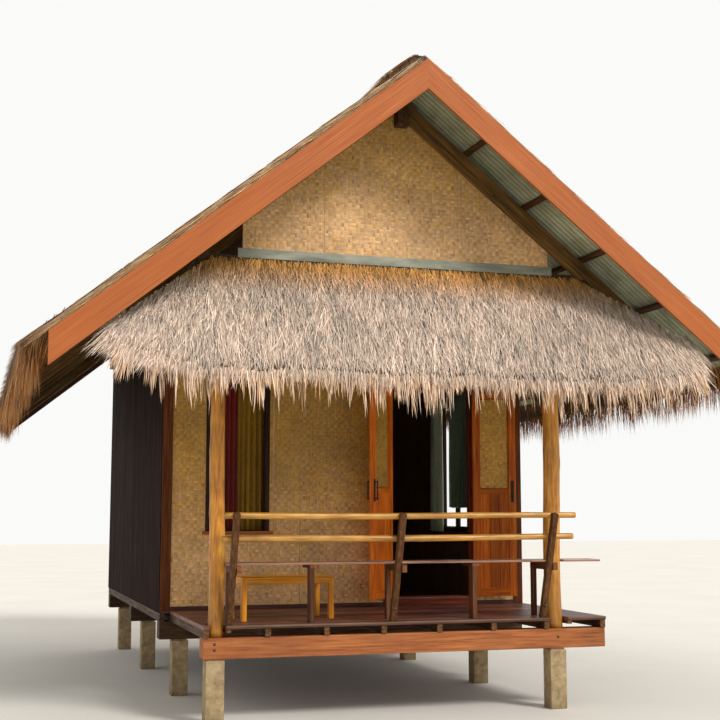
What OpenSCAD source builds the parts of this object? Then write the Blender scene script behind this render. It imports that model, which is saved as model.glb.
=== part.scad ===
// Stilt house: one room and an open front porch on short concrete piers,
// woven mat walls, a steep thatched gable roof and a grass awning over the porch.
// X runs to the right along the front, Y runs into the house, Z is up.
// The origin is on the ground under the middle of the whole house.

/* [Plan] */
// Ridge line to the outer face of the left wall
wall_left = 1720; // [1650:10:1850]
// Ridge line to the outer face of the right wall
wall_right = 1830; // [1750:10:1950]
// Centre line of the log posts to the outer face of the front wall
porch_depth = 1600; // [1400:10:2200]
// Length of the room over its outer faces
room_length = 4320; // [3600:10:6000]
// Thickness of the framed walls
wall_t = 80; // [60:5:95]

/* [Piers and floor] */
// Height of the concrete piers above the ground
pier_h = 502; // [300:10:1500]
// Side of the square piers
pier_w = 145; // [120:5:240]
// Height of the floor beams that lie on the piers
beam_h = 160; // [120:5:220]
// Width of the floor beams
beam_w = 160; // [120:5:200]
// Height of the floor joists
joist_h = 66; // [50:2:120]
// Width of the floor joists
joist_w = 45; // [30:5:60]
// Distance between floor joists
joist_step = 480; // [400:10:520]
// Ridge line to the first joist that lies clear of the left post
joist_first = 1113; // [1050:1:1200]
// Thickness of the floor and deck boards
board_t = 30; // [20:2:45]
// Deck edge in front of the post centre line
deck_nose = 119; // [100:1:180]

/* [Log posts] */
// Ridge line to the left log post
post_left = 1515; // [1480:5:1600]
// Ridge line to the right log post
post_right = 1400; // [1370:1:1410]
// Thickness of the left log post at its foot
post_left_d = 125; // [120:5:170]
// Thickness of the right log post at its foot
post_right_d = 146; // [120:2:150]
// How much thinner a log post is at its top
post_taper = 12; // [0:1:20]

/* [Rail and bench] */
// Lean of the rail posts away from the porch, in degrees
rail_lean = 17.5; // [10:0.5:22]
// Side of the square rail posts
rail_post_w = 50; // [40:2:60]
// Length of the rail posts
rail_post_l = 910; // [890:5:1000]
// Height of the top rail above the deck
rail_top = 838; // [800:2:840]
// Height of the lower rail above the deck
rail_low = 660; // [600:1:720]
// Thickness of the rail logs
rail_d = 50; // [40:1:60]
// Height of the bench seat above the deck
bench_h = 477; // [400:1:520]
// Thickness of the bench plank
bench_t = 18; // [14:1:40]
// Width of the bench plank, from front to back
bench_w = 250; // [200:5:320]
// Thickness of the bench legs
bench_leg = 38; // [30:1:40]

/* [Table] */
// Length of the porch table
table_l = 810; // [600:10:850]
// Width of the porch table
table_w = 350; // [300:10:450]
// Height of the porch table
table_h = 350; // [300:5:420]
// Thickness of the table's legs
table_leg = 42; // [30:2:50]
// Depth of the table's top frame
table_rim = 46; // [30:2:60]
// Ridge line to the near left corner of the table
table_x = 1255; // [1200:5:1300]
// Turn of the table away from the bench, in degrees
table_turn = 7.5; // [0:0.5:15]

/* [Roof] */
// Height of the ridge, at the top edge of the barge boards
ridge_h = 5250; // [5200:10:5600]
// Slope of the roof, in degrees
pitch = 38.8; // [37:0.1:40]
// Ridge line to the cut end of the barge boards
eave_x = 2897; // [2700:10:3000]
// Post centre line to the front face of the front barge boards
front_overhang = 814; // [700:10:900]
// Rear wall to the rear face of the rear barge boards
rear_overhang = 532; // [300:10:800]
// Width of the barge boards, square to the slope
barge_w = 196; // [180:2:240]
// Thickness of the barge boards
barge_t = 26; // [18:1:40]
// Height of the rafters, square to the slope
rafter_h = 100; // [80:5:120]
// Width of the rafters
rafter_w = 50; // [40:5:70]
// Height of the purlins, square to the slope
purlin_h = 40; // [30:2:50]
// Width of the purlins, along the slope
purlin_w = 50; // [40:5:70]
// Number of purlins on each slope
purlin_n = 6; // [5:1:8]
// Depth of the waves in the roof sheets
sheet_h = 18; // [12:1:24]
// Distance between two waves of the roof sheets
sheet_wave = 76; // [70:1:130]
// Thickness of the roof sheets
sheet_t = 2; // [1:0.5:3]
// Width of the ridge beam
ridge_beam_w = 110; // [80:5:140]
// Height of the ridge beam at its sides
ridge_beam_h = 120; // [100:5:160]

/* [Thatch] */
// Thickness of the thatch, square to the slope
thatch_t = 72; // [50:2:90]
// How far each course of thatch stands over the next
thatch_step = 16; // [8:1:24]
// Number of thatch courses on each slope
thatch_courses = 8; // [6:1:10]
// Width of one bundle at the end of a thatch course
bundle_w = 240; // [160:10:400]
// How far the longest bundle ends reach over the next course
bundle_reach = 60; // [20:5:80]
// Thatch past the barge boards, at the front and the rear
thatch_over = 40; // [20:5:80]
// Thatch past the cut end of the barge boards, at the eaves
eave_over = 165; // [120:5:200]
// Drop of the thatch fringe below the roof line at the eaves
eave_drop = 190; // [120:5:220]
// Thickness of the ridge cap
cap_t = 42; // [30:2:60]
// Half the width of the ridge cap
cap_w = 330; // [250:10:360]

/* [Gable] */
// Gable face in front of the post centre line
gable_out = 100; // [80:5:120]
// Half the width of the gable panel
gable_half = 1350; // [1250:10:1400]
// Height of the gable panel's foot above the top of the walls
gable_lift = 226; // [200:2:260]
// Thickness of the woven gable panels
panel_t = 24; // [16:2:40]
// Height of the metal flashing at the gable's foot
flashing_h = 78; // [60:2:100]
// Half the length of the metal flashing
flashing_half = 1390; // [1300:10:1420]

/* [Awning] */
// Half the width of the awning
awning_half = 2400; // [2200:10:2450]
// Reach of the awning in front of the post centre line
awning_reach = 1040; // [950:10:1100]
// Height of the awning's lower edge above the deck
awning_low = 1772; // [1740:5:1850]
// Thickness of the grass at the awning's lower edge
awning_t = 165; // [120:5:190]
// Thickness of the awning poles
awning_pole = 42; // [30:2:50]
// Height of the awning's arms
arm_h = 80; // [60:5:100]
// Width of the awning's arms
arm_w = 60; // [40:5:80]

/* [Door] */
// Ridge line to the left side of the doorway
door_x = 442; // [430:2:500]
// Width of the doorway between its jambs
door_w = 866; // [840:2:880]
// Height of the doorway above its sill
door_h = 2000; // [1900:10:2050]
// Height of the door sill above the floor
door_sill = 70; // [40:5:100]
// Thickness of the jambs in the wall
jamb_w = 45; // [30:5:60]
// How far the door frame stands proud of the wall
frame_proud = 10; // [6:1:14]
// Width of the door stop
stop_w = 15; // [12:1:20]
// Running gap round each door leaf
door_gap = 8; // [7:0.5:10]
// Thickness of the door leaves
leaf_t = 35; // [30:1:40]
// Width of a leaf's stiles
stile_w = 68; // [50:2:80]
// Height of a leaf's top rail
leaf_rail_h = 74; // [60:2:90]
// Top of the middle rail above the leaf's foot
mid_rail = 1030; // [900:10:1100]
// Height of a leaf's middle rail
mid_rail_h = 52; // [40:2:80]
// Height of a leaf's bottom rail
foot_rail_h = 80; // [60:2:110]
// Thickness of the woven mat in a leaf's upper half
mat_panel_t = 10; // [8:1:12]
// Thickness of the boards in a leaf's lower half
board_panel_t = 16; // [12:1:18]
// Middle of the pull handles above a leaf's foot
handle_z = 1005; // [950:5:1060]
// Length of the pull handles
handle_l = 180; // [120:10:220]
// Finger room behind the pull handles
handle_room = 24; // [18:1:30]
// Angle that the left leaf stands open
left_open = 135; // [90:1:160]
// Angle that the right leaf stands open
right_open = 165; // [90:1:170]

/* [Windows] */
// Ridge line to the left side of the front window
window_x = 1320; // [1280:5:1330]
// Width of the front window
window_w = 600; // [500:10:640]
// Front wall to the near side of the side window
side_window_y = 1160; // [900:10:1400]
// Width of the side window
side_window_w = 930; // [700:10:1000]
// Width of the post between the two lights of the side window
mullion_w = 46; // [40:1:80]
// Height of the window sills above the floor
window_sill = 677; // [600:1:800]
// Height of the windows
window_h = 1440; // [1200:10:1500]
// Thickness of the window frames
casing = 42; // [30:2:55]
// Thickness of the curtains with their folds
curtain_t = 40; // [20:2:50]
// Width of the narrow curtain at the left of the front window
narrow_curtain_w = 280; // [100:10:300]
// Width of the curtain that is drawn past the far side of the side window
far_curtain_w = 350; // [250:5:450]
// Width of the curtain at the near side of the side window
near_curtain_w = 535; // [300:5:600]

/* [Hidden] */

// Clearance between pieces that fit together without touching
fit = 0.3;
// Overcut of a hole past the faces that it passes
over = 10;
round_fn = 48;
hinge_fn = 32;
bar_fn = 24;

// Planes along Y, with the middle of the whole house at Y = 0
house_rear = porch_depth + room_length + rear_overhang + thatch_over;
post_y = (awning_reach - house_rear) / 2;
front_y = post_y + porch_depth;
rear_y = front_y + room_length;
gable_y = post_y - gable_out;
barge_front_y = post_y - front_overhang;
barge_rear_y = rear_y + rear_overhang;
roof_y0 = barge_front_y + barge_t;
roof_y1 = barge_rear_y - barge_t;

// Heights
joist_z = pier_h + beam_h;
floor_z = joist_z + joist_h + board_t;

// Roof: height of the roof line at x, and of a line n below it, square to the slope
function roof_z(x) = ridge_h - abs(x) * tan(pitch);
function under_z(x, n) = roof_z(x) - n / cos(pitch);
purlin_n0 = sheet_h;
purlin_n1 = purlin_n0 + purlin_h;
rafter_n0 = purlin_n1 + fit;
rafter_n1 = rafter_n0 + rafter_h;
// What the rafters lie on ends here
seat_n = rafter_n1 + fit;
plate_w = 100;
plate_min = 100;
wall_top = under_z(max(wall_left, wall_right), seat_n) - plate_min;
wall_h = wall_top - floor_z;
tie_h = 120;

// Log posts
post_x = [-post_left, post_right];
post_r = [post_left_d / 2, post_right_d / 2];
post_clear = 5;

module at(x, y, z) translate([x, y, z]) children();

// A flat outline in X and Z, pulled from y0 to y1
module along_y(y0, y1) {
    translate([0, y1, 0])
        rotate([90, 0, 0])
            linear_extrude(y1 - y0)
                children();
}

// The stretch between two lines below the right slope, from x0 to x1
module slope_band(n0, n1, x0, x1, y0, y1) {
    outline = [[x0, under_z(x0, n0)], [x1, under_z(x1, n0)],
        [x1, under_z(x1, n1)], [x0, under_z(x0, n1)]];
    along_y(y0, y1)
        polygon(outline);
}

// Local x runs down the right slope from the ridge, local z points out of the roof
module on_slope() {
    translate([0, 0, ridge_h])
        rotate([0, pitch, 0])
            children();
}

// Piers, beams and joists
beam_left = post_left + post_r[0] + post_clear + joist_w;
beam_front_y = post_y - gable_out;
beam_rows = [front_y, front_y + room_length / 2 - beam_w / 2, rear_y - beam_w];
pier_rows = concat([beam_front_y], beam_rows);

module pier(x, y) {
    chamfer = 12;
    translate([x, y, 0]) {
        linear_extrude(pier_h - chamfer)
            square(pier_w, center = true);
        translate([0, 0, pier_h - chamfer])
            linear_extrude(chamfer)
                square(pier_w - 2 * chamfer, center = true);
    }
}

// The piers stand a little left of the log posts
pier_shift = [-12, -6];

module concrete_piers() {
    color("#c8bda0")
        for (y = pier_rows, i = [0, 1])
            pier(post_x[i] + pier_shift[i], y + beam_w / 2);
}

module front_floor_beam() {
    color("#b9603c")
        at(-beam_left, beam_front_y, pier_h)
            cube([beam_left + wall_right, beam_w, beam_h]);
}

module floor_beams() {
    color("#6b4330")
        for (y = beam_rows)
            at(-wall_left, y, pier_h)
                cube([wall_left + wall_right, beam_w, beam_h]);
}

post_joist_x = -beam_left + joist_w / 2;
last_joist_x = wall_right - joist_w / 2;
inner_joists = floor((last_joist_x - joist_w - post_clear + joist_first) / joist_step);
joist_x = concat([post_joist_x],
    [for (i = [0:inner_joists]) -joist_first + i * joist_step],
    [last_joist_x]);
board_nose = 12;
joist_front_y = post_y - deck_nose + board_nose;

// A batten right of each log post carries the deck boards that are cut there
batten_w = 40;
batten_h = 28;

module floor_joists() {
    color("#4a2e22") {
        for (i = [0, 1])
            at(post_x[i] + post_r[i] + post_clear, joist_front_y, floor_z - board_t - batten_h)
                cube([batten_w, porch_depth + deck_nose - board_nose, batten_h]);
        for (x = joist_x)
            at(x - joist_w / 2, joist_front_y, joist_z)
                cube([joist_w, rear_y - joist_front_y, joist_h]);
        at(-wall_left, front_y, joist_z)
            cube([joist_w, room_length, joist_h]);
    }
}

module post_notches(z, h) {
    for (i = [0, 1]) {
        r = post_r[i] + post_clear;
        at(post_x[i], post_y, z - over)
            cylinder(h = h + 2 * over, r = r, $fn = round_fn);
        at(post_x[i] - r, post_y - deck_nose - over, z - over)
            cube([2 * r, deck_nose + over, h + 2 * over]);
    }
}

module porch_deck() {
    z = floor_z - board_t;
    color("#6e3424")
        difference() {
            at(-beam_left, post_y - deck_nose, z)
                cube([beam_left + wall_right, porch_depth + deck_nose, board_t]);
            post_notches(z, board_t);
        }
}

module room_floor() {
    color("#5a3526")
        at(-wall_left, front_y, floor_z - board_t)
            cube([wall_left + wall_right, room_length, board_t]);
}

// Posts, tie beam and plates
module log_posts() {
    h = wall_top - tie_h - joist_z;
    color("#d79646")
        for (i = [0, 1])
            at(post_x[i], post_y, joist_z)
                cylinder(h = h, r1 = post_r[i], r2 = post_r[i] - post_taper / 2, $fn = round_fn);
}

module porch_tie_beam() {
    tie_w = 150;
    tie_end = 40;
    color("#6b4330")
        at(-wall_left - tie_end, gable_y, wall_top - tie_h)
            cube([wall_left + wall_right + 2 * tie_end, tie_w, tie_h]);
}

module wall_plate(outer) {
    inner = outer - plate_w;
    outline = [[inner, wall_top], [outer, wall_top],
        [outer, under_z(outer, seat_n)], [inner, under_z(inner, seat_n)]];
    along_y(gable_y, roof_y1)
        polygon(outline);
}

module wall_plates() {
    color("#4a2e22") {
        wall_plate(wall_right);
        mirror([1, 0, 0])
            wall_plate(wall_left);
    }
}

// Walls
module front_wall_piece(x0, x1) {
    at(x0, front_y, floor_z)
        cube([x1 - x0, wall_t, wall_h]);
}

frame_x0 = door_x - jamb_w;
frame_x1 = door_x + door_w + jamb_w;
frame_top = floor_z + door_sill + door_h + jamb_w;

module front_wall_left() {
    color("#c49a5c")
        difference() {
            front_wall_piece(-wall_left + wall_t, frame_x0);
            at(-window_x, front_y - over, floor_z + window_sill)
                cube([window_w, wall_t + 2 * over, window_h]);
        }
}

module front_wall_over_door() {
    color("#c49a5c")
        at(frame_x0, front_y, frame_top)
            cube([frame_x1 - frame_x0, wall_t, wall_top - frame_top]);
}

module front_wall_right() {
    color("#c49a5c")
        front_wall_piece(frame_x1, wall_right - wall_t);
}

module side_wall() {
    at(0, front_y, floor_z)
        cube([wall_t, room_length, wall_h]);
}

module left_wall() {
    color("#3a241b")
        translate([-wall_left, 0, 0])
            side_wall();
}

module right_wall() {
    color("#3a241b")
        translate([wall_right - wall_t, 0, 0])
            difference() {
                side_wall();
                at(-over, front_y + side_window_y, floor_z + window_sill)
                    cube([wall_t + 2 * over, side_window_w, window_h]);
            }
}

module rear_wall() {
    color("#c49a5c")
        at(-wall_left + wall_t, rear_y - wall_t, floor_z)
            cube([wall_left + wall_right - 2 * wall_t, wall_t, wall_h]);
}

trim_w = 90;
trim_t = 18;

module corner_trims() {
    color("#8a4a2c")
        for (y = [front_y - trim_t, rear_y], x = [-wall_left, wall_right - trim_w])
            at(x, y, floor_z)
                cube([trim_w, trim_t, wall_h]);
}

// Doorway: jambs, head and sill, with a stop behind the leaves
face_y = front_y - frame_proud;
sill_z = floor_z + door_sill;
leaf_z = sill_z + door_gap;
leaf_h = door_h - 2 * door_gap;
leaf_w = (door_w - 3 * door_gap) / 2;
stop_y = face_y + leaf_t + door_gap;

module door_frame() {
    depth = wall_t + frame_proud;
    color("#b4581e")
        difference() {
            at(frame_x0, face_y, floor_z)
                cube([frame_x1 - frame_x0, depth, frame_top - floor_z]);
            at(door_x, face_y - over, sill_z)
                cube([door_w, stop_y - face_y + over, door_h]);
            at(door_x + stop_w, face_y, sill_z + stop_w)
                cube([door_w - 2 * stop_w, depth + over, door_h - 2 * stop_w]);
        }
}

// Hinges: the pin stands in front of the jamb, so a leaf can lie back on the wall
pin_out = 14;
pin_r = 4;
pin_fit = 0.08;
knuckle_r = 8;
knuckle_h = 42;
knuckle_run = 0.6;
pin_h = 67;
plate_l = 34;
plate_h = 3;
hinge_at = [0.12, 0.5, 0.88];
left_pin_x = door_x + door_gap / 2;
right_pin_x = door_x + door_w - door_gap / 2;
pin_y = face_y - pin_out;
function hinge_z(k) = leaf_z + leaf_h * hinge_at[k];

// A knuckle on the origin with its web and its plate, which lies on a face pin_out behind
module knuckle(h) {
    cylinder(h = h, r = knuckle_r, $fn = hinge_fn);
    cube([knuckle_r, pin_out, h]);
    at(0, pin_out - plate_h, 0)
        cube([plate_l, plate_h, h]);
}

// The jamb's half: the lower knuckle with the pin standing up out of it
module jamb_hinge() {
    translate([0, 0, -knuckle_h])
        knuckle(knuckle_h);
    at(0, 0, -knuckle_h / 2)
        cylinder(h = pin_h, r = pin_r, $fn = hinge_fn);
}

// The leaf's half: the upper knuckle, which turns on the pin
module leaf_hinge() {
    h = knuckle_h - knuckle_run;
    translate([0, 0, knuckle_run])
        difference() {
            knuckle(h);
            at(0, 0, -over)
                cylinder(h = h + 2 * over, r = pin_r + pin_fit, $fn = hinge_fn);
        }
}

module door_hinges() {
    color("#3c3530")
        for (k = [0:2]) {
            at(left_pin_x, pin_y, hinge_z(k))
                mirror([1, 0, 0])
                    jamb_hinge();
            at(right_pin_x, pin_y, hinge_z(k))
                jamb_hinge();
        }
}

// A leaf hangs on the pin at the origin and is drawn closed, reaching to the right
leaf_x0 = door_gap / 2;
leaf_y0 = pin_out;
panel_rebate = 10;
// The mat lies near the leaf's outer face and the boards near its inner face
mat_set = 6;
board_set = 5;
mat_y = leaf_y0 + mat_set;
board_y = leaf_y0 + leaf_t - board_set - board_panel_t;
// Lower and upper edge of each panel's opening above the leaf's foot
board_span = [foot_rail_h, mid_rail - mid_rail_h];
mat_span = [mid_rail, leaf_h - leaf_rail_h];

// The space between the stiles, grown all round by a rebate
module between_stiles(span, grow, y, t) {
    at(leaf_x0 + stile_w - grow, y, span[0] - grow)
        cube([leaf_w - 2 * stile_w + 2 * grow, t, span[1] - span[0] + 2 * grow]);
}

module leaf_frame() {
    color("#b45a1c")
        difference() {
            at(leaf_x0, leaf_y0, 0)
                cube([leaf_w, leaf_t, leaf_h]);
            for (span = [board_span, mat_span])
                between_stiles(span, 0, leaf_y0 - over, leaf_t + 2 * over);
            between_stiles(board_span, panel_rebate + fit, board_y - fit, board_panel_t + 2 * fit);
            between_stiles(mat_span, panel_rebate + fit, mat_y - fit, mat_panel_t + 2 * fit);
        }
}

module leaf_panels() {
    color("#c8923c") {
        between_stiles(board_span, panel_rebate, board_y, board_panel_t);
        between_stiles(mat_span, panel_rebate, mat_y, mat_panel_t);
    }
}

// A pull handle with its plate, on a face at y = 0 and standing out towards -y
handle_x = leaf_x0 + leaf_w - stile_w / 2;
handle_d = 12;
handle_foot_in = 12;
handle_plate_w = 30;
handle_plate_past = 14;

module pull_handle() {
    reach = plate_h + handle_room + handle_d / 2;
    back_l = handle_l + 2 * handle_plate_past;
    at(-handle_plate_w / 2, -plate_h, -back_l / 2)
        cube([handle_plate_w, plate_h, back_l]);
    for (s = [-1, 1])
        at(0, 0, s * (handle_l / 2 - handle_foot_in))
            rotate([90, 0, 0])
                cylinder(h = reach, d = handle_d, $fn = bar_fn);
    at(0, -reach, -handle_l / 2)
        cylinder(h = handle_l, d = handle_d, $fn = bar_fn);
}

// Knuckles on the leaf's hinge edge, and a pull handle on each face near its free edge
module leaf_fittings() {
    color("#3c3530") {
        for (k = [0:2])
            translate([0, 0, leaf_h * hinge_at[k]])
                leaf_hinge();
        at(handle_x, leaf_y0, handle_z)
            pull_handle();
        at(handle_x, leaf_y0 + leaf_t, handle_z)
            mirror([0, 1, 0])
                pull_handle();
    }
}

module hang_left() {
    translate([left_pin_x, pin_y, leaf_z])
        rotate([0, 0, -left_open])
            children();
}

module hang_right() {
    translate([right_pin_x, pin_y, leaf_z])
        rotate([0, 0, right_open])
            mirror([1, 0, 0])
                children();
}

module left_leaf_frame() { hang_left() leaf_frame(); }
module left_leaf_panels() { hang_left() leaf_panels(); }
module left_leaf_fittings() { hang_left() leaf_fittings(); }
module right_leaf_frame() { hang_right() leaf_frame(); }
module right_leaf_panels() { hang_right() leaf_panels(); }
module right_leaf_fittings() { hang_right() leaf_fittings(); }

// Windows: a frame in the wall, proud on both faces, with a sill board outside
window_z = floor_z + window_sill;
sill_out = 45;
sill_t = 30;

// Drawn with the outer face of the wall at y = 0 and the room behind it
module window_frame(w) {
    difference() {
        union() {
            at(0, -frame_proud, window_z)
                cube([w, wall_t + 2 * frame_proud, window_h]);
            at(-sill_t, -sill_out, window_z)
                cube([w + 2 * sill_t, sill_out, sill_t]);
        }
        at(casing, -frame_proud - over, window_z + casing)
            cube([w - 2 * casing, wall_t + 2 * (frame_proud + over), window_h - 2 * casing]);
    }
}

// The mullion stands in the outer part of the frame
module mullion(w) {
    mullion_t = 45;
    at((w - mullion_w) / 2, 0, window_z + casing)
        cube([mullion_w, mullion_t, window_h - 2 * casing]);
}

module place_front_window() {
    translate([-window_x, front_y, 0])
        children();
}

module place_side_window() {
    translate([wall_right, front_y + side_window_y, 0])
        rotate([0, 0, 90])
            children();
}

module window_frames() {
    color("#6a3020") {
        place_front_window()
            window_frame(window_w);
        place_side_window() {
            window_frame(side_window_w);
            mullion(side_window_w);
        }
    }
}

// Curtains hang from a rod inside each window
rod_d = 16;
rod_in = wall_t + 60;
rod_z = window_z + window_h + 40;
bracket = 24;
front_rod_past = 60;
side_rod_past = 200;

module curtain_rod(w, past) {
    at(-past, rod_in, rod_z)
        rotate([0, 90, 0])
            cylinder(h = w + 2 * past, d = rod_d, $fn = bar_fn);
    for (x = [-past + bracket, w + past - bracket])
        at(x - bracket / 2, wall_t, rod_z - bracket / 2)
            cube([bracket, rod_in - wall_t, bracket]);
}

module curtain_rods() {
    color("#8c7a60") {
        place_front_window()
            curtain_rod(window_w, front_rod_past);
        place_side_window()
            curtain_rod(side_window_w, side_rod_past);
    }
}

// Hems above the foot of the window: below the sill in front, higher at the side
front_hem = -60;
far_hem = 0;
near_hem = 260;
curtain_lap = 285;
near_curtain_past = 135;

module curtain(x0, w, hem) {
    low = window_z + hem;
    at(x0, rod_in - curtain_t / 2, low)
        cube([w, curtain_t, rod_z - rod_d / 2 - fit - low]);
}

module curtains() {
    wide_x = casing + narrow_curtain_w + fit;
    color("#6f7648") {
        place_front_window() {
            curtain(casing, narrow_curtain_w, front_hem);
            curtain(wide_x, window_w - casing / 2 - wide_x, front_hem);
        }
        place_side_window() {
            curtain(-near_curtain_past, near_curtain_w, near_hem);
            curtain(side_window_w - curtain_lap, far_curtain_w, far_hem);
        }
    }
}

// Gables
gable_board_t = 50;
panel_z = wall_top + gable_lift;

// The triangle under the rafters, above z0
module under_rafters(y0, y1, z0) {
    reach = (under_z(0, seat_n) - z0) / tan(pitch);
    along_y(y0, y1)
        polygon([[-reach, z0], [reach, z0], [0, under_z(0, seat_n)]]);
}

module ridge_beam_cut(y0, y1) {
    at(-ridge_beam_w / 2 - fit, y0 - over, ridge_beam_z - fit)
        cube([ridge_beam_w + 2 * fit, y1 - y0 + 2 * over, ridge_beam_h * 3]);
}

// Deep board on the tie beam, between the wall plates
module gable_board() {
    x0 = -wall_left + plate_w;
    x1 = wall_right - plate_w;
    color("#4a2e22")
        intersection() {
            under_rafters(gable_y, gable_y + gable_board_t, wall_top);
            at(x0, gable_y - over, wall_top)
                cube([x1 - x0, gable_board_t + 2 * over, gable_lift]);
        }
}

module gable_panel() {
    y1 = gable_y + panel_t;
    color("#c49a5c")
        difference() {
            intersection() {
                under_rafters(gable_y, y1, panel_z);
                at(-gable_half, gable_y - over, panel_z)
                    cube([2 * gable_half, panel_t + 2 * over, ridge_h]);
            }
            ridge_beam_cut(gable_y, y1);
        }
}

flashing_t = 3;
flashing_lap = 20;

module gable_flashing() {
    color("#98a29c")
        at(-flashing_half, gable_y - flashing_t, panel_z - flashing_lap)
            cube([2 * flashing_half, flashing_t, flashing_h]);
}

module full_gable(y0, y1) {
    x0 = -wall_left + plate_w;
    x1 = wall_right - plate_w;
    outline = [[x0, wall_top], [x1, wall_top], [x1, under_z(x1, seat_n)],
        [0, under_z(0, seat_n)], [x0, under_z(x0, seat_n)]];
    difference() {
        along_y(y0, y1)
            polygon(outline);
        ridge_beam_cut(y0, y1);
    }
}

module room_gable() {
    color("#c49a5c")
        full_gable(front_y, front_y + wall_t);
}

module rear_gable() {
    color("#c49a5c")
        full_gable(rear_y - wall_t, rear_y);
}

// Ridge beam: its top follows both slopes
ridge_beam_z = under_z(ridge_beam_w / 2, seat_n) - ridge_beam_h;
ridge_beam_out = 110;

module ridge_beam() {
    half = ridge_beam_w / 2;
    side_top = under_z(half, seat_n);
    outline = [[-half, ridge_beam_z], [half, ridge_beam_z], [half, side_top],
        [0, under_z(0, seat_n)], [-half, side_top]];
    color("#3a241b")
        along_y(gable_y - ridge_beam_out, rear_y + ridge_beam_out)
            polygon(outline);
}

// Rafters
rafter_tail = 50;
room_bays = 3;
rafter_y = concat([gable_y],
    [for (i = [0:room_bays]) front_y + i * (room_length - rafter_w) / room_bays]);

module slope_rafters() {
    for (y = rafter_y)
        slope_band(rafter_n0, rafter_n1, 0, eave_x - rafter_tail, y, y + rafter_w);
}

module rafters_right() {
    color("#4a2e22")
        slope_rafters();
}

module rafters_left() {
    color("#4a2e22")
        mirror([1, 0, 0])
            slope_rafters();
}

// Purlins
slope_l = eave_x / cos(pitch);
purlin_top_in = 120;
purlin_foot_in = 130;
purlin_first = purlin_top_in;
purlin_last = slope_l - purlin_foot_in;

module slope_purlins() {
    step = (purlin_last - purlin_first) / (purlin_n - 1);
    for (i = [0:purlin_n - 1])
        on_slope()
            at(purlin_first + i * step - purlin_w / 2, roof_y0, -purlin_n1)
                cube([purlin_w, roof_y1 - roof_y0, purlin_h]);
}

module purlins() {
    color("#5b3a28") {
        slope_purlins();
        mirror([1, 0, 0])
            slope_purlins();
    }
}

// Corrugated sheets: a wave along Y, pulled down the slope
wave_points = 4;
waves = floor((roof_y1 - roof_y0) / sheet_wave);
wave_l = (roof_y1 - roof_y0) / waves;

function wave_z(i) = -sheet_h / 2 + (sheet_h - sheet_t) / 2 * cos(360 * i / wave_points);

module slope_sheet() {
    last = waves * wave_points;
    top = [for (i = [0:last]) [i * wave_l / wave_points, wave_z(i) + sheet_t / 2]];
    low = [for (i = [last:-1:0]) [i * wave_l / wave_points, wave_z(i) - sheet_t / 2]];
    start = sheet_h * tan(pitch) + 1;
    on_slope()
        translate([start, roof_y0, 0])
            rotate([90, 0, 90])
                linear_extrude(slope_l - start)
                    polygon(concat(top, low));
}

module roof_sheet_right() {
    color("#8fa098")
        slope_sheet();
}

module roof_sheet_left() {
    color("#8fa098")
        mirror([1, 0, 0])
            slope_sheet();
}

// Thatch: courses that step down the slope, and a fringe that hangs past the eave
thatch_up = thatch_t / cos(pitch);
course_x = [for (i = [0:thatch_courses]) i * (eave_x + eave_over) / thatch_courses];
function thatch_top(x) = roof_z(x) + thatch_up;
function course_low(x) = thatch_top(x) - thatch_step;
fringe_in = 45;
fringe_taper = 25;

module slope_thatch() {
    tip_x = course_x[thatch_courses];
    drip_x = eave_x + fringe_in;
    tip_z = roof_z(eave_x) - eave_drop;
    stepped = [for (i = [thatch_courses:-1:1])
        for (end = [0, 1])
            end == 0 ? [course_x[i], thatch_top(course_x[i])]
                     : [course_x[i - 1], course_low(course_x[i - 1])]];
    outline = concat(
        [[0, roof_z(0)], [drip_x, roof_z(drip_x)], [drip_x + fringe_taper, tip_z],
            [tip_x - fringe_taper, tip_z], [tip_x, roof_z(tip_x)]],
        stepped);
    along_y(barge_front_y - thatch_over, barge_rear_y + thatch_over)
        polygon(outline);
}

// The bundles of a course end unevenly, laid over the top of the next course
course_turn = atan(tan(pitch) - thatch_step / course_x[1]);
bundle_least = 10;
bundle_root = 16;
bundle_sunk = 0.5;
bundle_in = 2;
bundle_side = 4;
bundle_y0 = barge_front_y - thatch_over + bundle_side;
bundle_y1 = barge_rear_y + thatch_over - bundle_side;
bundle_n = round((bundle_y1 - bundle_y0) / bundle_w);
function bundle_end(course, k) = bundle_least
    + (bundle_reach - bundle_least) * (0.5 + 0.5 * sin(137 * k + 71 * course));

module bundle_ends(course) {
    thick = thatch_step * cos(course_turn) + bundle_in;
    step = (bundle_y1 - bundle_y0) / bundle_n;
    ends = [for (k = [0:bundle_n]) [bundle_end(course, k), bundle_y0 + k * step]];
    translate([course_x[course], 0, thatch_top(course_x[course])])
        rotate([0, course_turn, 0])
            translate([0, 0, -thick])
                linear_extrude(thick - bundle_sunk)
                    polygon(concat([[-bundle_root, bundle_y0]], ends,
                        [[-bundle_root, bundle_y1]]));
}

module slope_courses() {
    slope_thatch();
    for (course = [1:thatch_courses - 1])
        bundle_ends(course);
}

module thatch_right() {
    color("#b99763")
        slope_courses();
}

module thatch_left() {
    color("#b99763")
        mirror([1, 0, 0])
            slope_courses();
}

// The cap straddles the ridge and lies on the top course of both slopes
cap_lip = 14;
cap_edge = 34;
cap_flat = 42;

module ridge_cap() {
    slope_in = (course_low(0) - thatch_top(course_x[1])) / course_x[1];
    peak_z = course_low(0) + fit;
    foot_z = peak_z - cap_w * slope_in;
    outline = [[0, peak_z], [cap_w, foot_z], [cap_w + cap_lip, foot_z + cap_edge],
        [cap_flat, peak_z + cap_t], [-cap_flat, peak_z + cap_t],
        [-cap_w - cap_lip, foot_z + cap_edge], [-cap_w, foot_z]];
    color("#a88a5c")
        along_y(barge_front_y - thatch_over, barge_rear_y + thatch_over)
            polygon(outline);
}

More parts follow.
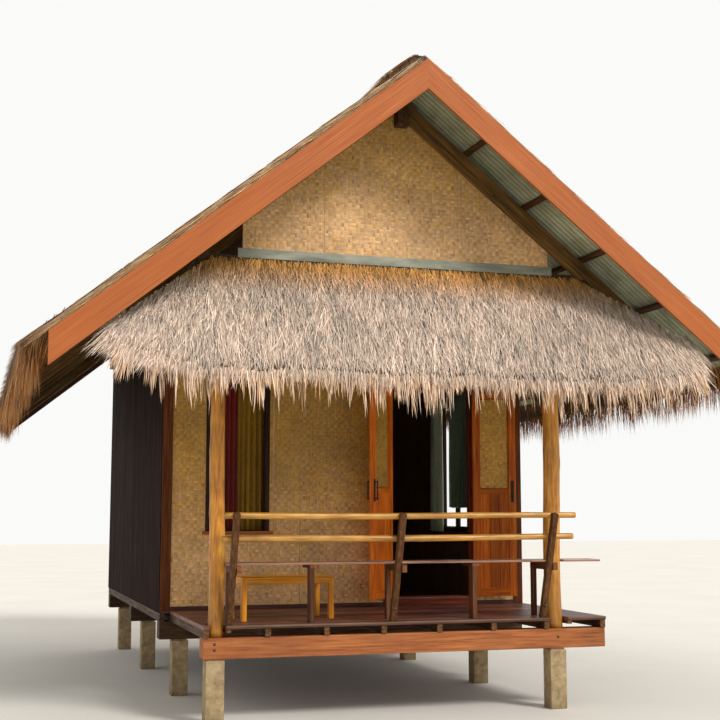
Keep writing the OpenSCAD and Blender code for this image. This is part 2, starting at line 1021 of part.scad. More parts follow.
// Barge boards
module slope_barges() {
    barge_n = barge_w;
    slope_band(0, barge_n, 0, eave_x, barge_front_y, barge_front_y + barge_t);
    slope_band(0, barge_n, 0, eave_x, barge_rear_y - barge_t, barge_rear_y);
}

module barge_boards_right() {
    color("#c8693c")
        slope_barges();
}

module barge_boards_left() {
    color("#c8693c")
        mirror([1, 0, 0])
            slope_barges();
}

// Awning: the back of the grass lies on poles, its front bulges a little
awning_z = floor_z + awning_low;
awning_back_h = 190;
awning_back_y = gable_y - flashing_t - fit;
awning_top_z = panel_z - flashing_lap;
awning_seat_z = awning_top_z - awning_back_h;
awning_tip_y = post_y - awning_reach;
awning_in_y = awning_tip_y + awning_t;
awning_slope = atan2(awning_seat_z - awning_z, awning_back_y - awning_in_y);
awning_lip = 20;
belly = 34;
belly_steps = 8;

module awning_profile() {
    front = [for (i = [0:belly_steps])
        let (t = i / belly_steps)
            [awning_tip_y + t * (awning_back_y - awning_tip_y) - belly * sin(180 * t) * sin(awning_slope),
                awning_z + awning_lip + t * (awning_top_z - awning_z - awning_lip)
                    + belly * sin(180 * t) * cos(awning_slope)]];
    polygon(concat([[awning_back_y, awning_seat_z], [awning_in_y, awning_z]], front));
}

// The grass is trimmed along both slopes, clear of the barge boards
awning_clear = 20;

module awning_thatch() {
    clear_n = barge_w + awning_clear;
    peak = under_z(0, clear_n);
    foot = under_z(awning_half, clear_n);
    outline = [[-awning_half, 0], [awning_half, 0], [awning_half, foot], [0, peak], [-awning_half, foot]];
    color("#c3aa8c")
        intersection() {
            translate([-awning_half - over, 0, 0])
                rotate([90, 0, 90])
                    linear_extrude(2 * (awning_half + over))
                        awning_profile();
            along_y(awning_tip_y - belly, awning_back_y + over)
                polygon(outline);
        }
}

// Poles under the grass, notched into a cross pole at their feet that lies on two arms
pole_notch = 3;
pole_drop = awning_pole / 2 + fit;
foot_pole = 62;
arm_lift = 190;
arm_z = awning_z + arm_lift;

foot_z = arm_z + arm_h + foot_pole / 2;
foot_y = awning_in_y + (foot_z - awning_z) / tan(awning_slope)
    + (foot_pole / 2 + pole_drop + awning_pole / 2 - pole_notch) / sin(awning_slope);
arm_tip = 60;
pole_n = 5;
pole_start = 120;

module awning_poles() {
    pole_back = (awning_back_y - awning_in_y) / cos(awning_slope);
    color("#9a7444") {
        difference() {
            union()
                for (i = [0:pole_n - 1])
                    translate([(i / (pole_n - 1) - 0.5) * 2 * gable_half, awning_in_y, awning_z])
                        rotate([awning_slope, 0, 0])
                            translate([0, pole_start, -pole_drop])
                                rotate([-90, 0, 0])
                                    cylinder(h = pole_back, d = awning_pole, $fn = bar_fn);
            at(-awning_half, gable_y - fit, awning_z)
                cube([2 * awning_half, pole_back, ridge_h]);
        }
        at(-awning_half + arm_tip, foot_y, foot_z)
            rotate([0, 90, 0])
                cylinder(h = 2 * (awning_half - arm_tip), d = foot_pole, $fn = 32);
    }
}

module awning_arms() {
    color("#6b4330")
        for (i = [0, 1])
            at(post_x[i] - arm_w / 2, foot_y - arm_tip, arm_z - fit)
                cube([arm_w, post_y - post_r[i] - fit - foot_y + arm_tip, arm_h]);
}

// Rail posts lean out from the deck's edge; the rail logs lie on their inner side
lean_out = 80;
lean_mid_x = -72;
lean_y = post_y - lean_out;
lean_x = [post_x[0] + post_r[0] + post_clear + rail_post_w / 2, lean_mid_x,
    post_x[1] - post_r[1] - post_clear - bench_leg - rail_post_w / 2];
rail_past = [82, 209];

module leaning() {
    translate([0, lean_y, floor_z])
        rotate([rail_lean, 0, 0])
            children();
}

module rail_posts() {
    half = rail_post_w / 2;
    color("#7a5136")
        difference() {
            for (x = lean_x)
                leaning()
                    at(x - half, -half, -half)
                        cube([rail_post_w, rail_post_w, rail_post_l + half]);
            at(-beam_left, lean_y - rail_post_l, floor_z - rail_post_w)
                cube([beam_left + wall_right, 2 * rail_post_l, rail_post_w]);
        }
}

module rail_log(h) {
    x0 = lean_x[0] - rail_past[0];
    x1 = lean_x[2] + rail_past[1];
    leaning()
        at(x0, rail_post_w / 2 + rail_d / 2, h / cos(rail_lean))
            rotate([0, 90, 0])
                cylinder(h = x1 - x0, d = rail_d, $fn = 32);
}

module porch_rails() {
    color("#dca04c") {
        rail_log(rail_top);
        rail_log(rail_low);
    }
}

// Bench along the front of the porch
bench_out = 42;
bench_y = post_y - bench_out;
bench_z = floor_z + bench_h;
bench_x0 = post_x[0] + post_r[0] + post_clear;
// Bearers on edge at the leaning posts, and flat ones between them
edge_bearer_h = 62;
edge_bearer_past = 6;
flat_bearer_size = [75, bench_w, 30];
rear_leg_d = 50;
front_leg_d = 90;
front_leg_x = [-758, 645];

module bench_seat() {
    color("#7a4a34")
        difference() {
            at(bench_x0, bench_y, bench_z - bench_t)
                cube([wall_right - bench_x0, bench_w, bench_t]);
            post_notches(bench_z - bench_t, bench_t);
        }
}

// Fixed to the side of a leaning post, with one leg under its rear end
module edge_bearer(x) {
    under = bench_h - bench_t - edge_bearer_h;
    front = lean_y - (bench_h - bench_t) * tan(rail_lean)
        - rail_post_w / 2 / cos(rail_lean) - edge_bearer_past;
    at(x, front, floor_z + under)
        cube([bench_leg, bench_y + bench_w - front, edge_bearer_h]);
    at(x, bench_y + bench_w - rear_leg_d, floor_z)
        cube([bench_leg, rear_leg_d, under]);
}

// Laid flat on one leg that stands near the deck's edge
module flat_bearer(x) {
    under = bench_h - bench_t - flat_bearer_size[2];
    at(x, bench_y, floor_z + under)
        cube(flat_bearer_size);
    at(x, bench_y, floor_z)
        cube([bench_leg, front_leg_d, under]);
}

module bench_legs() {
    color("#4a2e22") {
        for (x = lean_x)
            edge_bearer(x + rail_post_w / 2);
        for (x = front_leg_x)
            flat_bearer(x);
    }
}

// Small table that stands just behind the bench
table_gap = 14;
table_top_t = 16;
table_y = bench_y + bench_w + table_gap;

module porch_table() {
    under_top = table_h - table_top_t;
    color("#d9982f")
        translate([-table_x, table_y, floor_z])
            rotate([0, 0, table_turn]) {
                for (x = [0, table_l - table_leg], y = [0, table_w - table_leg])
                    at(x, y, 0)
                        cube([table_leg, table_leg, under_top]);
                difference() {
                    at(0, 0, under_top - table_rim)
                        cube([table_l, table_w, table_rim]);
                    at(table_leg / 2, table_leg / 2, under_top - table_rim - over)
                        cube([table_l - table_leg, table_w - table_leg, table_rim + over]);
                }
                at(0, 0, under_top)
                    cube([table_l, table_w, table_top_t]);
            }
}

concrete_piers();
front_floor_beam();
floor_beams();
floor_joists();
porch_deck();
room_floor();
log_posts();
porch_tie_beam();
wall_plates();
front_wall_left();
front_wall_over_door();
front_wall_right();
left_wall();
right_wall();
rear_wall();
corner_trims();
door_frame();
door_hinges();
left_leaf_frame();
left_leaf_panels();
left_leaf_fittings();
right_leaf_frame();
right_leaf_panels();
right_leaf_fittings();
window_frames();
curtain_rods();
curtains();
gable_board();
gable_panel();
gable_flashing();
room_gable();
rear_gable();
ridge_beam();
rafters_left();
rafters_right();
purlins();
roof_sheet_left();
roof_sheet_right();
thatch_left();
thatch_right();
ridge_cap();
barge_boards_left();
barge_boards_right();
awning_arms();
awning_poles();
awning_thatch();
rail_posts();
porch_rails();
bench_seat();
bench_legs();
porch_table();
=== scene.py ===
# %% [markdown]
# # A stilt house with a thatched roof
# The frame of this house comes measured and fixed: piers, beams, posts, walls, two door leaves
# on their hinges, rafters and solid stand-ins for the grass. Here every part gets what a builder
# would use for it: boards, peeled logs, woven bamboo mats, cloth and tens of thousands of stalks.
# All sizes are metres, in the same frame as the measured parts, so nothing needs fitting.

# %% Load the measured frame
import math

import bpy
import numpy as np
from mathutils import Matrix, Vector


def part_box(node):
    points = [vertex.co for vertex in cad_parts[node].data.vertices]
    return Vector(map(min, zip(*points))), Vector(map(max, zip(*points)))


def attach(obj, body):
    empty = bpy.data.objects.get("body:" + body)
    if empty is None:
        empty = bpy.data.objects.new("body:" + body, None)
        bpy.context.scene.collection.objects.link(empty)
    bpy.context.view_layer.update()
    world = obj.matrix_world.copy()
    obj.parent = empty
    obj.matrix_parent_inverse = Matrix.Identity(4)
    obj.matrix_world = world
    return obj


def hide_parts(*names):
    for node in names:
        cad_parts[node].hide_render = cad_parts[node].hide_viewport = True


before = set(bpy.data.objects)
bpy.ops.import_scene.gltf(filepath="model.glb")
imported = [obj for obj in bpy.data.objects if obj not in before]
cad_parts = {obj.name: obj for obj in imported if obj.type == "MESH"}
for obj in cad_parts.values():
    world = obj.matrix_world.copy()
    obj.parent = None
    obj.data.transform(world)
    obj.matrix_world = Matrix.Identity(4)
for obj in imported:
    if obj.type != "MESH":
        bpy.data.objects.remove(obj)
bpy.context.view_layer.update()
scene = bpy.context.scene

# %% [markdown]
# ## The camera
# A picture of a building is taken from eye height, so the upright edges stay nearly upright.
# This one stands thirteen metres off, to the left of the porch, and looks up a little.
# It could be set by eye. Here it was worked out from the straight edges of the house instead, so
# that every board can be judged at its true place.

# %% Place the camera
lens_data = bpy.data.cameras.new("camera")
lens_data.lens = 63.29
camera = bpy.data.objects.new("camera", lens_data)
camera.location = (-3.403, -12.724, 1.611)
camera.rotation_euler = (math.radians(96.991), 0, math.radians(-17.106))
scene.collection.objects.link(camera)
scene.camera = camera
print("camera lens", lens_data.lens, "mm")

# %% [markdown]
# ## Light
# Soft daylight suits timber and grass: a pale sky all round fills the shade under the roof, and
# one broad lamp from the front right draws the relief of the stalks, so that posts and piers
# are darker on their left. The sky that the camera sees is set apart from the sky that lights
# the house, so the backdrop can be white while the house keeps the colours of its finishes.

# %% Sky and lamp
world = bpy.data.worlds.new("pale_sky")
scene.world = world
world.use_nodes = True
sky = world.node_tree
sky_light = sky.nodes["Background"]
sky_light.inputs["Color"].default_value = (1.0, 0.965, 0.90, 1)
sky_light.inputs["Strength"].default_value = 0.78
sky_seen = sky.nodes.new("ShaderNodeBackground")
sky_seen.inputs["Color"].default_value = (0.96, 0.96, 0.95, 1)
sky_seen.inputs["Strength"].default_value = 1.0
rays = sky.nodes.new("ShaderNodeLightPath")
seen_any = rays.outputs["Is Camera Ray"]
for other in ("Is Glossy Ray", "Is Transmission Ray"):
    most = sky.nodes.new("ShaderNodeMath")
    most.operation = "MAXIMUM"
    sky.links.new(seen_any, most.inputs[0])
    sky.links.new(rays.outputs[other], most.inputs[1])
    seen_any = most.outputs[0]
sky_choice = sky.nodes.new("ShaderNodeMixShader")
sky.links.new(seen_any, sky_choice.inputs[0])
sky.links.new(sky_light.outputs[0], sky_choice.inputs[1])
sky.links.new(sky_seen.outputs[0], sky_choice.inputs[2])
sky.links.new(sky_choice.outputs[0], sky.nodes["World Output"].inputs["Surface"])

sun_data = bpy.data.lights.new("broad_lamp", "SUN")
sun_data.energy = 2.1
sun_data.angle = math.radians(16)
sun_data.color = (1.0, 0.96, 0.90)
sun = bpy.data.objects.new("broad_lamp", sun_data)
sun.rotation_euler = (math.radians(52), 0, math.radians(29))
scene.collection.objects.link(sun)
scene.view_settings.view_transform = "Standard"
print("lamp", sun_data.energy, "sky", sky_light.inputs["Strength"].default_value)

# %% [markdown]
# ## Finishes
# Wood, bamboo, grass, cloth, stone and weathered metal are all finished by one recipe here.
# A noise is stretched along the fibres, a ramp turns it into the tones of the material, a broad
# noise adds patches, and two numbers kept on the mesh let each board or stalk differ from its
# neighbour: "shade" makes it lighter or darker, "tint" moves it to a second set of tones. The
# same fibre noise drives the bump and the roughness, so that colour, relief and sheen agree.

# %% Colours and shader helper
def tone(red, green, blue):
    """A colour as read off a swatch, 0 to 255, as the light values that a shader uses."""
    parts = [c / 255 for c in (red, green, blue)]
    return [c / 12.92 if c < 0.04045 else ((c + 0.055) / 1.055) ** 2.4 for c in parts] + [1.0]


class Finish:
    """One material, with short calls to add nodes to its tree."""

    def __init__(self, name):
        self.material = bpy.data.materials.new(name)
        self.material.use_nodes = True
        self.tree = self.material.node_tree
        self.skin = self.tree.nodes["Principled BSDF"]

    def feed(self, socket, value):
        """Gives a socket a link or a plain number, whichever value is."""
        if isinstance(value, bpy.types.Node):
            value = value.outputs[0]
        if isinstance(value, bpy.types.NodeSocket):
            self.tree.links.new(value, socket)
        else:
            socket.default_value = value

    def node(self, kind, inputs=(), **settings):
        """Adds a node, with its inputs fed and its settings made."""
        made = self.tree.nodes.new("ShaderNode" + kind)
        for key, value in settings.items():
            setattr(made, key, value)
        for socket, value in dict(inputs).items():
            self.feed(made.inputs[socket], value)
        return made

    def sum(self, how, first, second):
        """One step of arithmetic, named by how."""
        return self.node("Math", {0: first, 1: second}, operation=how).outputs[0]

    def noise(self, place, scale, detail=4.0, rough=0.55, warp=0.0):
        """A soft random pattern, scale times to the metre."""
        values = {"Vector": place, "Scale": scale, "Detail": detail, "Roughness": rough,
                  "Distortion": warp}
        return self.node("TexNoise", values).outputs[0]

    def ramp(self, fac, stops):
        """Turns a number into a colour, with stops of (place, colour)."""
        made = self.node("ValToRGB", {0: fac})
        points = made.color_ramp.elements
        while len(points) < len(stops):
            points.new(0.5)
        for point, (at, colour) in zip(points, stops):
            point.position, point.color = at, colour
        return made.outputs[0]

    def blend(self, fac, first, second):
        """The first colour where fac is 0 and the second where it is 1."""
        made = self.node("Mix", data_type="RGBA")
        for socket, value in ((0, fac), (6, first), (7, second)):
            self.feed(made.inputs[socket], value)
        return made.outputs[2]

    def between(self, value, low, high, to_low, to_high):
        """Moves a number from one range to another, and holds it there."""
        return self.node("MapRange", {0: value, 1: low, 2: high, 3: to_low, 4: to_high}).outputs[0]

    def stored(self, name, output="Fac"):
        """A number that the mesh keeps for each of its points."""
        return self.node("Attribute", attribute_name=name).outputs[output]

    def close(self, colour, light, middle, roughness, height, bump, relief):
        """Joins colour, roughness and relief to the shader. middle is the tone on average."""
        colour = self.node("VectorMath", {0: colour, "Scale": light}, operation="SCALE")
        self.feed(self.skin.inputs["Base Color"], colour)
        self.skin.inputs["Base Color"].default_value = middle
        self.material.diffuse_color = middle
        self.feed(self.skin.inputs["Roughness"], roughness)
        raised = self.node("Bump", {"Strength": bump, "Distance": relief, "Height": height})
        self.feed(self.skin.inputs["Normal"], raised)
        return self.material


print("colour helper", [round(c, 3) for c in tone(180, 85, 20)])

# %% The shared recipe for a fibrous finish
def fibre(name, tones, along, stored=True, turn=(0, 0, 0), patch=(1.4, 0.22),
          second=None, rough=(0.5, 0.75), bump=0.5, relief=0.002, spread=(0.3, 0.7), foot=None,
          coat=0.0, metal=0.0, sheen=0.0, gloss=0.5, inner_shade=False):
    """One finish. along is how often the fibre noise repeats in a metre, each way. stored is
    whether the mesh keeps fibre coordinates of its own, turn how the fibres lie if not. foot
    darkens it near the ground, from one height to another. The switch for the inner faces
    darkens the faces that look towards the middle of the house: painted shade under the roof."""
    work = Finish(name)
    tones = [tone(*swatch) for swatch in tones]
    flat = work.node("TexCoord").outputs["Object"]
    place = work.stored("grain", "Vector") if stored else flat
    lie = work.node("Mapping", {"Vector": place, "Rotation": turn,
                                "Scale": [1 / often for often in along]}, vector_type="TEXTURE")
    fibres = work.noise(lie, 1.0, 6.0, 0.62, 0.25)
    low, high = spread
    spots = [low + (high - low) * k / (len(tones) - 1) for k in range(len(tones))]
    colour = work.ramp(fibres, list(zip(spots, tones)))
    if second:
        other = work.ramp(fibres, list(zip(spots, [tone(*swatch) for swatch in second])))
        colour = work.blend(work.stored("tint"), colour, other)
    broad = work.between(work.noise(flat, patch[0], 3.0), 0.3, 0.7, 1 - patch[1], 1 + patch[1])
    light = work.sum("MULTIPLY_ADD", work.stored("shade"), 1.0)
    light.node.inputs[2].default_value = 1.0
    light = work.sum("MULTIPLY", broad, light)
    if foot:
        height = work.node("SeparateXYZ", {0: flat}).outputs[2]
        soil = work.sum("ADD", height, work.sum("MULTIPLY", work.noise(flat, 9.0), 0.12))
        light = work.sum("MULTIPLY", light, work.between(soil, foot[0], foot[1], foot[2], 1.0))
    # painted shade: faces that look towards the middle of the house are darkened to about a sixth
    if inner_shade:
        facing = work.node("SeparateXYZ", {0: work.node("TexCoord").outputs["Normal"]}).outputs[1]
        away = work.node("SeparateXYZ", {0: flat}).outputs[1]
        painted_inner_shade = work.between(work.sum("MULTIPLY", facing, away), -1.5, 0.0, 0.16, 1.0)
        light = work.sum("MULTIPLY", light, painted_inner_shade)
    for socket, value in (("Coat Weight", coat), ("Coat Roughness", 0.2), ("Metallic", metal),
                          ("Sheen Weight", sheen), ("Specular IOR Level", gloss)):
        work.skin.inputs[socket].default_value = value
    roughness = work.between(fibres, 0.3, 0.7, rough[1], rough[0])
    return work.close(colour, light, tones[len(tones) // 2], roughness, fibres, bump, relief)


print("the recipe is ready")

# %% [markdown]
# ## Wood of the floor, posts and frames
# The sawn timbers differ more in colour than in grain: the front beam is a warm orange brown,
# the joists and rafters are almost black with old oil, the deck is a dark red brown that many
# feet have polished. Frame pieces lie along X, Y or Z, so their fibre noise is stretched along
# that line. Boards that are made here carry their own fibre coordinates instead.
# A picture of wood would repeat along a beam, and noise in space never does.

# %% Wood finishes
ALONG_X, ALONG_Y, ALONG_Z = (2.5, 55, 55), (55, 2.5, 55), (55, 55, 2.5)
beam_wood = fibre("red_timber", [(112, 55, 18), (153, 85, 34), (175, 108, 50)], ALONG_X,
                  stored=False, foot=(0.49, 0.55, 0.8))
trim_wood = fibre("trim_timber", [(72, 36, 16), (100, 54, 26), (124, 74, 40)], ALONG_Z,
                  stored=False, bump=0.4, gloss=0.12, foot=(0.75, 0.95, 0.7))
near_black = [(38, 24, 12), (66, 42, 20), (98, 68, 36)]
dark_x = fibre("dark_timber_x", near_black, ALONG_X, stored=False, gloss=0.25)
dark_y = fibre("dark_timber_y", near_black, ALONG_Y, stored=False, gloss=0.25)
dark_board = fibre("dark_boards", near_black, ALONG_X, gloss=0.25)
deck_wood = fibre("deck_boards", [(72, 38, 30), (104, 62, 52), (134, 88, 74)], ALONG_X,
                  rough=(0.35, 0.5), bump=0.25, gloss=0.3,
                  second=[(96, 76, 58), (128, 104, 82), (156, 134, 112)])
log_wood = fibre("peeled_log", [(146, 84, 16), (200, 132, 34), (228, 166, 62)],
                 (4, 30, 30), rough=(0.35, 0.55), patch=(3.0, 0.18), coat=0.1,
                 foot=(0.70, 1.35, 0.55))
rail_wood = fibre("rail_log", [(136, 84, 22), (178, 126, 44), (204, 156, 76)],
                  (4, 30, 30), rough=(0.32, 0.52), patch=(2.2, 0.22), coat=0.15)
brown_wood = fibre("rail_timber", [(54, 32, 16), (84, 52, 26), (114, 76, 42)],
                   ALONG_Z, stored=False, bump=0.55, gloss=0.2)
door_wood = fibre("door_wood", [(156, 68, 4), (206, 100, 10), (230, 134, 30)],
                  ALONG_X, rough=(0.4, 0.55), bump=0.2, gloss=0.2)
jamb_wood = fibre("jamb_wood", [(78, 28, 16), (112, 44, 24), (146, 66, 38)],
                  ALONG_X, rough=(0.4, 0.55), bump=0.25, gloss=0.2)
window_wood = fibre("window_wood", [(24, 9, 4), (42, 18, 8), (64, 30, 16)],
                    ALONG_X, rough=(0.45, 0.6), bump=0.3, gloss=0.2)
table_wood = fibre("table_wood", [(184, 108, 4), (226, 144, 10), (242, 174, 40)],
                   ALONG_X, rough=(0.35, 0.5), bump=0.2, gloss=0.3)
# near-black tones: painted shade of the side walls under the roof's overhang
plank_wood_in_shade = fibre("dark_planks", [(24, 13, 10), (40, 23, 18), (58, 36, 28)],
                   ALONG_X, bump=0.6, rough=(0.7, 0.9), gloss=0.04)
PITCH = math.radians(38.8)
LEANS = {"right": PITCH, "left": -PITCH}         # how the fibres lie on each slope
# the barge boards' inner faces get painted shade, for the dark underside of the roof
barge = {side: fibre("barge_wood_" + side, [(152, 74, 20), (166, 86, 24), (178, 98, 32)],
                     (2, 70, 110), stored=False, turn=(0, lean, 0), bump=0.1,
                     patch=(0.8, 0.06), inner_shade=True)
         for side, lean in LEANS.items()}
bamboo = fibre("bamboo", [(130, 96, 48), (168, 130, 72), (196, 160, 100)],
               ALONG_X, stored=False, rough=(0.3, 0.45), bump=0.2)
print("wood finishes made:", len(bpy.data.materials))

# %% [markdown]
# ## Stone, iron and sheet metal
# The piers are cast concrete, pale and a little stained near the ground. The fittings are dark
# iron with a trace of rust, and the sheets and the flashing are grey-green painted steel. None
# of them has fibres, so the noise is the same every way, or stretched a little by the rain.
# They could have recipes of their own, but the one for wood serves with other numbers.

# %% Stone and metal finishes
concrete = fibre("concrete", [(128, 110, 80), (160, 139, 104), (180, 160, 126)],
                 (18, 18, 18), stored=False, patch=(5.0, 0.14), rough=(0.85, 0.95), bump=0.6,
                 relief=0.004, foot=(0.0, 0.22, 0.62))
iron = fibre("iron", [(40, 34, 30), (58, 50, 44), (104, 62, 38)], (60, 60, 60),
             stored=False, rough=(0.45, 0.7), bump=0.3, relief=0.001, spread=(0.35, 0.85), metal=0.6)
flashing = fibre("flashing_metal", [(102, 104, 92), (127, 130, 116), (154, 154, 138)],
                 (3, 20, 12), stored=False, rough=(0.4, 0.6), bump=0.25, metal=0.35)
sheet_metal = fibre("roof_metal", [(140, 146, 118), (178, 184, 154), (200, 204, 176)],
                    (3, 3, 3), stored=False, rough=(0.45, 0.65), bump=0.2, metal=0.3)
print("finishes so far:", len(bpy.data.materials))

# %% [markdown]
# ## The frame pieces that stay
# Most squared timbers are already the right shape. They keep their mesh and get two modifiers:
# Weld joins the corners that the file format keeps apart, and Bevel rounds each edge by a few
# millimetres, so that it catches the light like a real worn edge.

# %% Dress the frame pieces
def dress(node, material, edge):
    """Gives a piece of the frame its finish and softens its edges."""
    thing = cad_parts[node]
    for place in thing.material_slots:
        place.material = material
    if edge:
        thing.modifiers.new("join corners", "WELD").merge_threshold = 0.00002
        soft = thing.modifiers.new("worn edges", "BEVEL")
        soft.width, soft.segments, soft.limit_method = edge, 2, "ANGLE"
        soft.angle_limit = math.radians(35)


rafter_tones = [(58, 38, 16), (96, 68, 30), (132, 98, 52)]
dark_slope = {side: fibre("dark_slope_" + side, rafter_tones, (2.5, 45, 55), stored=False,
                          turn=(0, lean, 0), gloss=0.25) for side, lean in LEANS.items()}
for nodes, material, edge in (
        ("concrete_piers", concrete, 0.006), ("front_floor_beam", beam_wood, 0.006),
        ("floor_beams", dark_x, 0.006), ("porch_tie_beam gable_board", dark_x, 0.004),
        ("corner_trims", trim_wood, 0.002),
        ("wall_plates ridge_beam purlins awning_arms", dark_y, 0.004),
        ("rafters_left", dark_slope["left"], 0.004), ("rafters_right", dark_slope["right"], 0.004),
        ("barge_boards_left", barge["left"], 0.003), ("barge_boards_right", barge["right"], 0.003),
        ("rail_posts", brown_wood, 0.004), ("awning_poles curtain_rods", bamboo, 0),
        ("gable_flashing", flashing, 0.001),
        ("door_hinges left_leaf_fittings right_leaf_fittings", iron, 0.0008)):
    for node in nodes.split():
        dress(node, material, edge)
print("frame pieces dressed")

# %% [markdown]
# ## Tools for making many pieces
# A deck has fifteen boards and each slope of the roof has twenty thousand stalks, so none of them
# is an object of its own. A Pile collects the points and faces of any number of pieces, and
# becomes one mesh at the end. Each point also keeps its fibre coordinates, its shade and its tint.

# %% Draws, vectors and grids
chance = np.random.default_rng(2607)
even, bell = chance.uniform, chance.normal
X, Y, Z = np.eye(3)


def unit(vectors):
    """The same directions, one metre long."""
    vectors = np.asarray(vectors, float)
    return vectors / np.linalg.norm(vectors, axis=-1, keepdims=True)


def xyz(x, y, z):
    """Points from three coordinates, each one number or a whole array."""
    return np.stack(np.broadcast_arrays(x, y, z), -1)


def net(rows, columns, loop=False):
    """Quads over a grid of points, closed round the columns if loop is set."""
    a, b = np.meshgrid(np.arange(rows - 1), np.arange(columns - (not loop)), indexing="ij")
    at, beside = a * columns + b, a * columns + (b + 1) % columns
    return np.stack([at, beside, beside + columns, at + columns], -1).reshape(-1, 4)


def loaf(points):
    """Faces of a body made of rows of closed loops, with a cap on both ends."""
    rows, width = points.shape[:2]
    cap = np.arange(width - 1)[None]
    return [net(rows, width), cap, cap[:, ::-1] + (rows - 1) * width]


print("quads in a net of 3 by 4 points:", len(net(3, 4)), "and looped:", len(net(3, 4, True)))

# %% A pile of pieces that becomes one mesh
class Pile:
    """Points, faces and finish numbers of many small pieces. turn, if set, is a matrix and a
    shift that place whatever is added next."""

    def __init__(self):
        self.faces, self.count, self.turn = [], 0, None
        self.kept = {"points": [], "grain": [], "shade": [], "tint": []}

    def add(self, points, faces, shade=0.0, tint=0.0, grain=None):
        """Adds one piece or many. shade and tint are one number, or one for each point."""
        points = np.asarray(points, float).reshape(-1, 3)
        grain = points if grain is None else np.asarray(grain, float).reshape(-1, 3)
        flip = 1
        if self.turn is not None:
            matrix, shift = self.turn
            points = points @ np.transpose(matrix) + shift
            flip = round(np.linalg.det(matrix))
        for group in faces:
            self.faces.append(np.asarray(group)[:, ::flip] + self.count)
        for key, value in (("points", points), ("grain", grain)):
            self.kept[key].append(value)
        for key, value in (("shade", shade), ("tint", tint)):
            self.kept[key].append(np.broadcast_to(np.ravel(value), (len(points),)))
        self.count += len(points)

    def make(self, name, material, slot, body="house", instead_of=(), smooth=False):
        """Turns the pile into one object that rides on a body of the frame."""
        mesh = bpy.data.meshes.new(name)
        kept = {key: np.concatenate(rows).astype(np.float32) for key, rows in self.kept.items()}
        mesh.vertices.add(self.count)
        mesh.vertices.foreach_set("co", kept["points"].ravel())
        corners = np.concatenate([group.ravel() for group in self.faces]).astype(np.int32)
        sizes = np.concatenate([np.full(len(g), g.shape[1]) for g in self.faces])
        mesh.loops.add(len(corners))
        mesh.loops.foreach_set("vertex_index", corners)
        mesh.polygons.add(len(sizes))
        starts = np.concatenate([[0], np.cumsum(sizes)[:-1]]).astype(np.int32)
        mesh.polygons.foreach_set("loop_start", starts)
        mesh.polygons.foreach_set("use_smooth", np.full(len(sizes), smooth))
        mesh.update(calc_edges=True)
        mesh.attributes.new("grain", "FLOAT_VECTOR", "POINT").data.foreach_set(
            "vector", kept["grain"].ravel())
        for key in ("shade", "tint"):
            mesh.attributes.new(key, "FLOAT", "POINT").data.foreach_set("value", kept[key])
        mesh.materials.append(material)
        thing = bpy.data.objects.new(name, mesh)
        scene.collection.objects.link(thing)
        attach(thing, body)
        if instead_of:
            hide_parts(*instead_of)
        print(name, "triangles:", int((sizes - 2).sum()))
        return thing


print("a pile keeps", ", ".join(Pile().kept))

# %% [markdown]
# ## Squared timber
# A board or post is a box whose four long edges are planed off. Its ends get points of their
# own, because end grain takes the weather differently: `ends` makes it lighter or darker.
# A scaled cube with a Bevel modifier would look much the same. Worked out as points, any number
# of boards go into one mesh, and each board still has a shade of its own.

# %% Boards and squared posts
def timber(pile, middle, length, width, thick, edge=0.002, shade=0.0, ends=0.0, wild=0.06,
           tint=0.0):
    """One timber for each row. length, width and thick are its edges as vectors."""
    rows = [np.atleast_2d(np.asarray(v, float)) for v in (middle, length, width, thick)]
    count = max(len(row) for row in rows)
    middle, length, width, thick = (np.broadcast_to(row, (count, 3)) for row in rows)
    hand = np.sign((np.cross(width, thick) * length).sum(1, keepdims=True))
    width = width * hand
    long, wide, deep = (np.linalg.norm(v, axis=1) for v in (length, width, thick))
    one, in_w, in_t = np.ones(count), 1 - 2 * edge / wide, 1 - 2 * edge / deep
    across = np.stack([one, in_w, -in_w, -one, -one, -in_w, in_w, one], 1)
    through = np.stack([in_t, one, one, in_t, -in_t, -one, -one, -in_t], 1)
    ring = across[..., None] * width[:, None] / 2 + through[..., None] * thick[:, None] / 2
    low, high = (middle[:, None] + s * length[:, None] / 2 + ring for s in (-1, 1))
    points = np.concatenate([low, high, low, high], 1)
    seat = even(0, 40, (count, 1, 3))
    flat = xyz(0, across * wide[:, None] / 2, through * deep[:, None] / 2)
    far = flat + np.array([1, 0, 0]) * long[:, None, None]
    grain = np.concatenate([flat, far, flat, far], 1) + seat
    step = np.arange(8)
    sides = np.stack([step, (step + 1) % 8, 8 + (step + 1) % 8, 8 + step], 1)
    caps = np.stack([23 - step, 24 + step])
    start = (np.arange(count) * 32)[:, None, None]       # 32 points: 16 for the sides, 16 for caps
    own = np.broadcast_to(shade, (count,)) + bell(0, wild, count)
    light = np.repeat(own, 32) + np.tile(np.repeat([0, ends], 16), count)
    pile.add(points, [(sides + start).reshape(-1, 4), (caps + start).reshape(-1, 8)], light,
             tint=tint, grain=grain)


def bar(pile, low, high, along="x", **more):
    """A timber that fills the box from low to high, with its fibres along x, y or z."""
    low, high = np.asarray(low, float), np.asarray(high, float)
    size = high - low
    order = {"x": (0, 1, 2), "y": (1, 0, 2), "z": (2, 0, 1)}[along]
    timber(pile, (low + high) / 2, *[np.eye(3)[k] * size[k] for k in order], **more)


print("timber helper ready")

# %% [markdown]
# ## The deck and the floor under it
# The deck is laid parallel to the front, board by board, with a few millimetres between them so
# that rain runs through. Where a log post comes up, the front boards are cut round it. The
# joists show their sawn ends under the deck's edge, paler than their oiled sides.
# One slab with dark lines would look flat at that edge, so each board is a piece of its own.

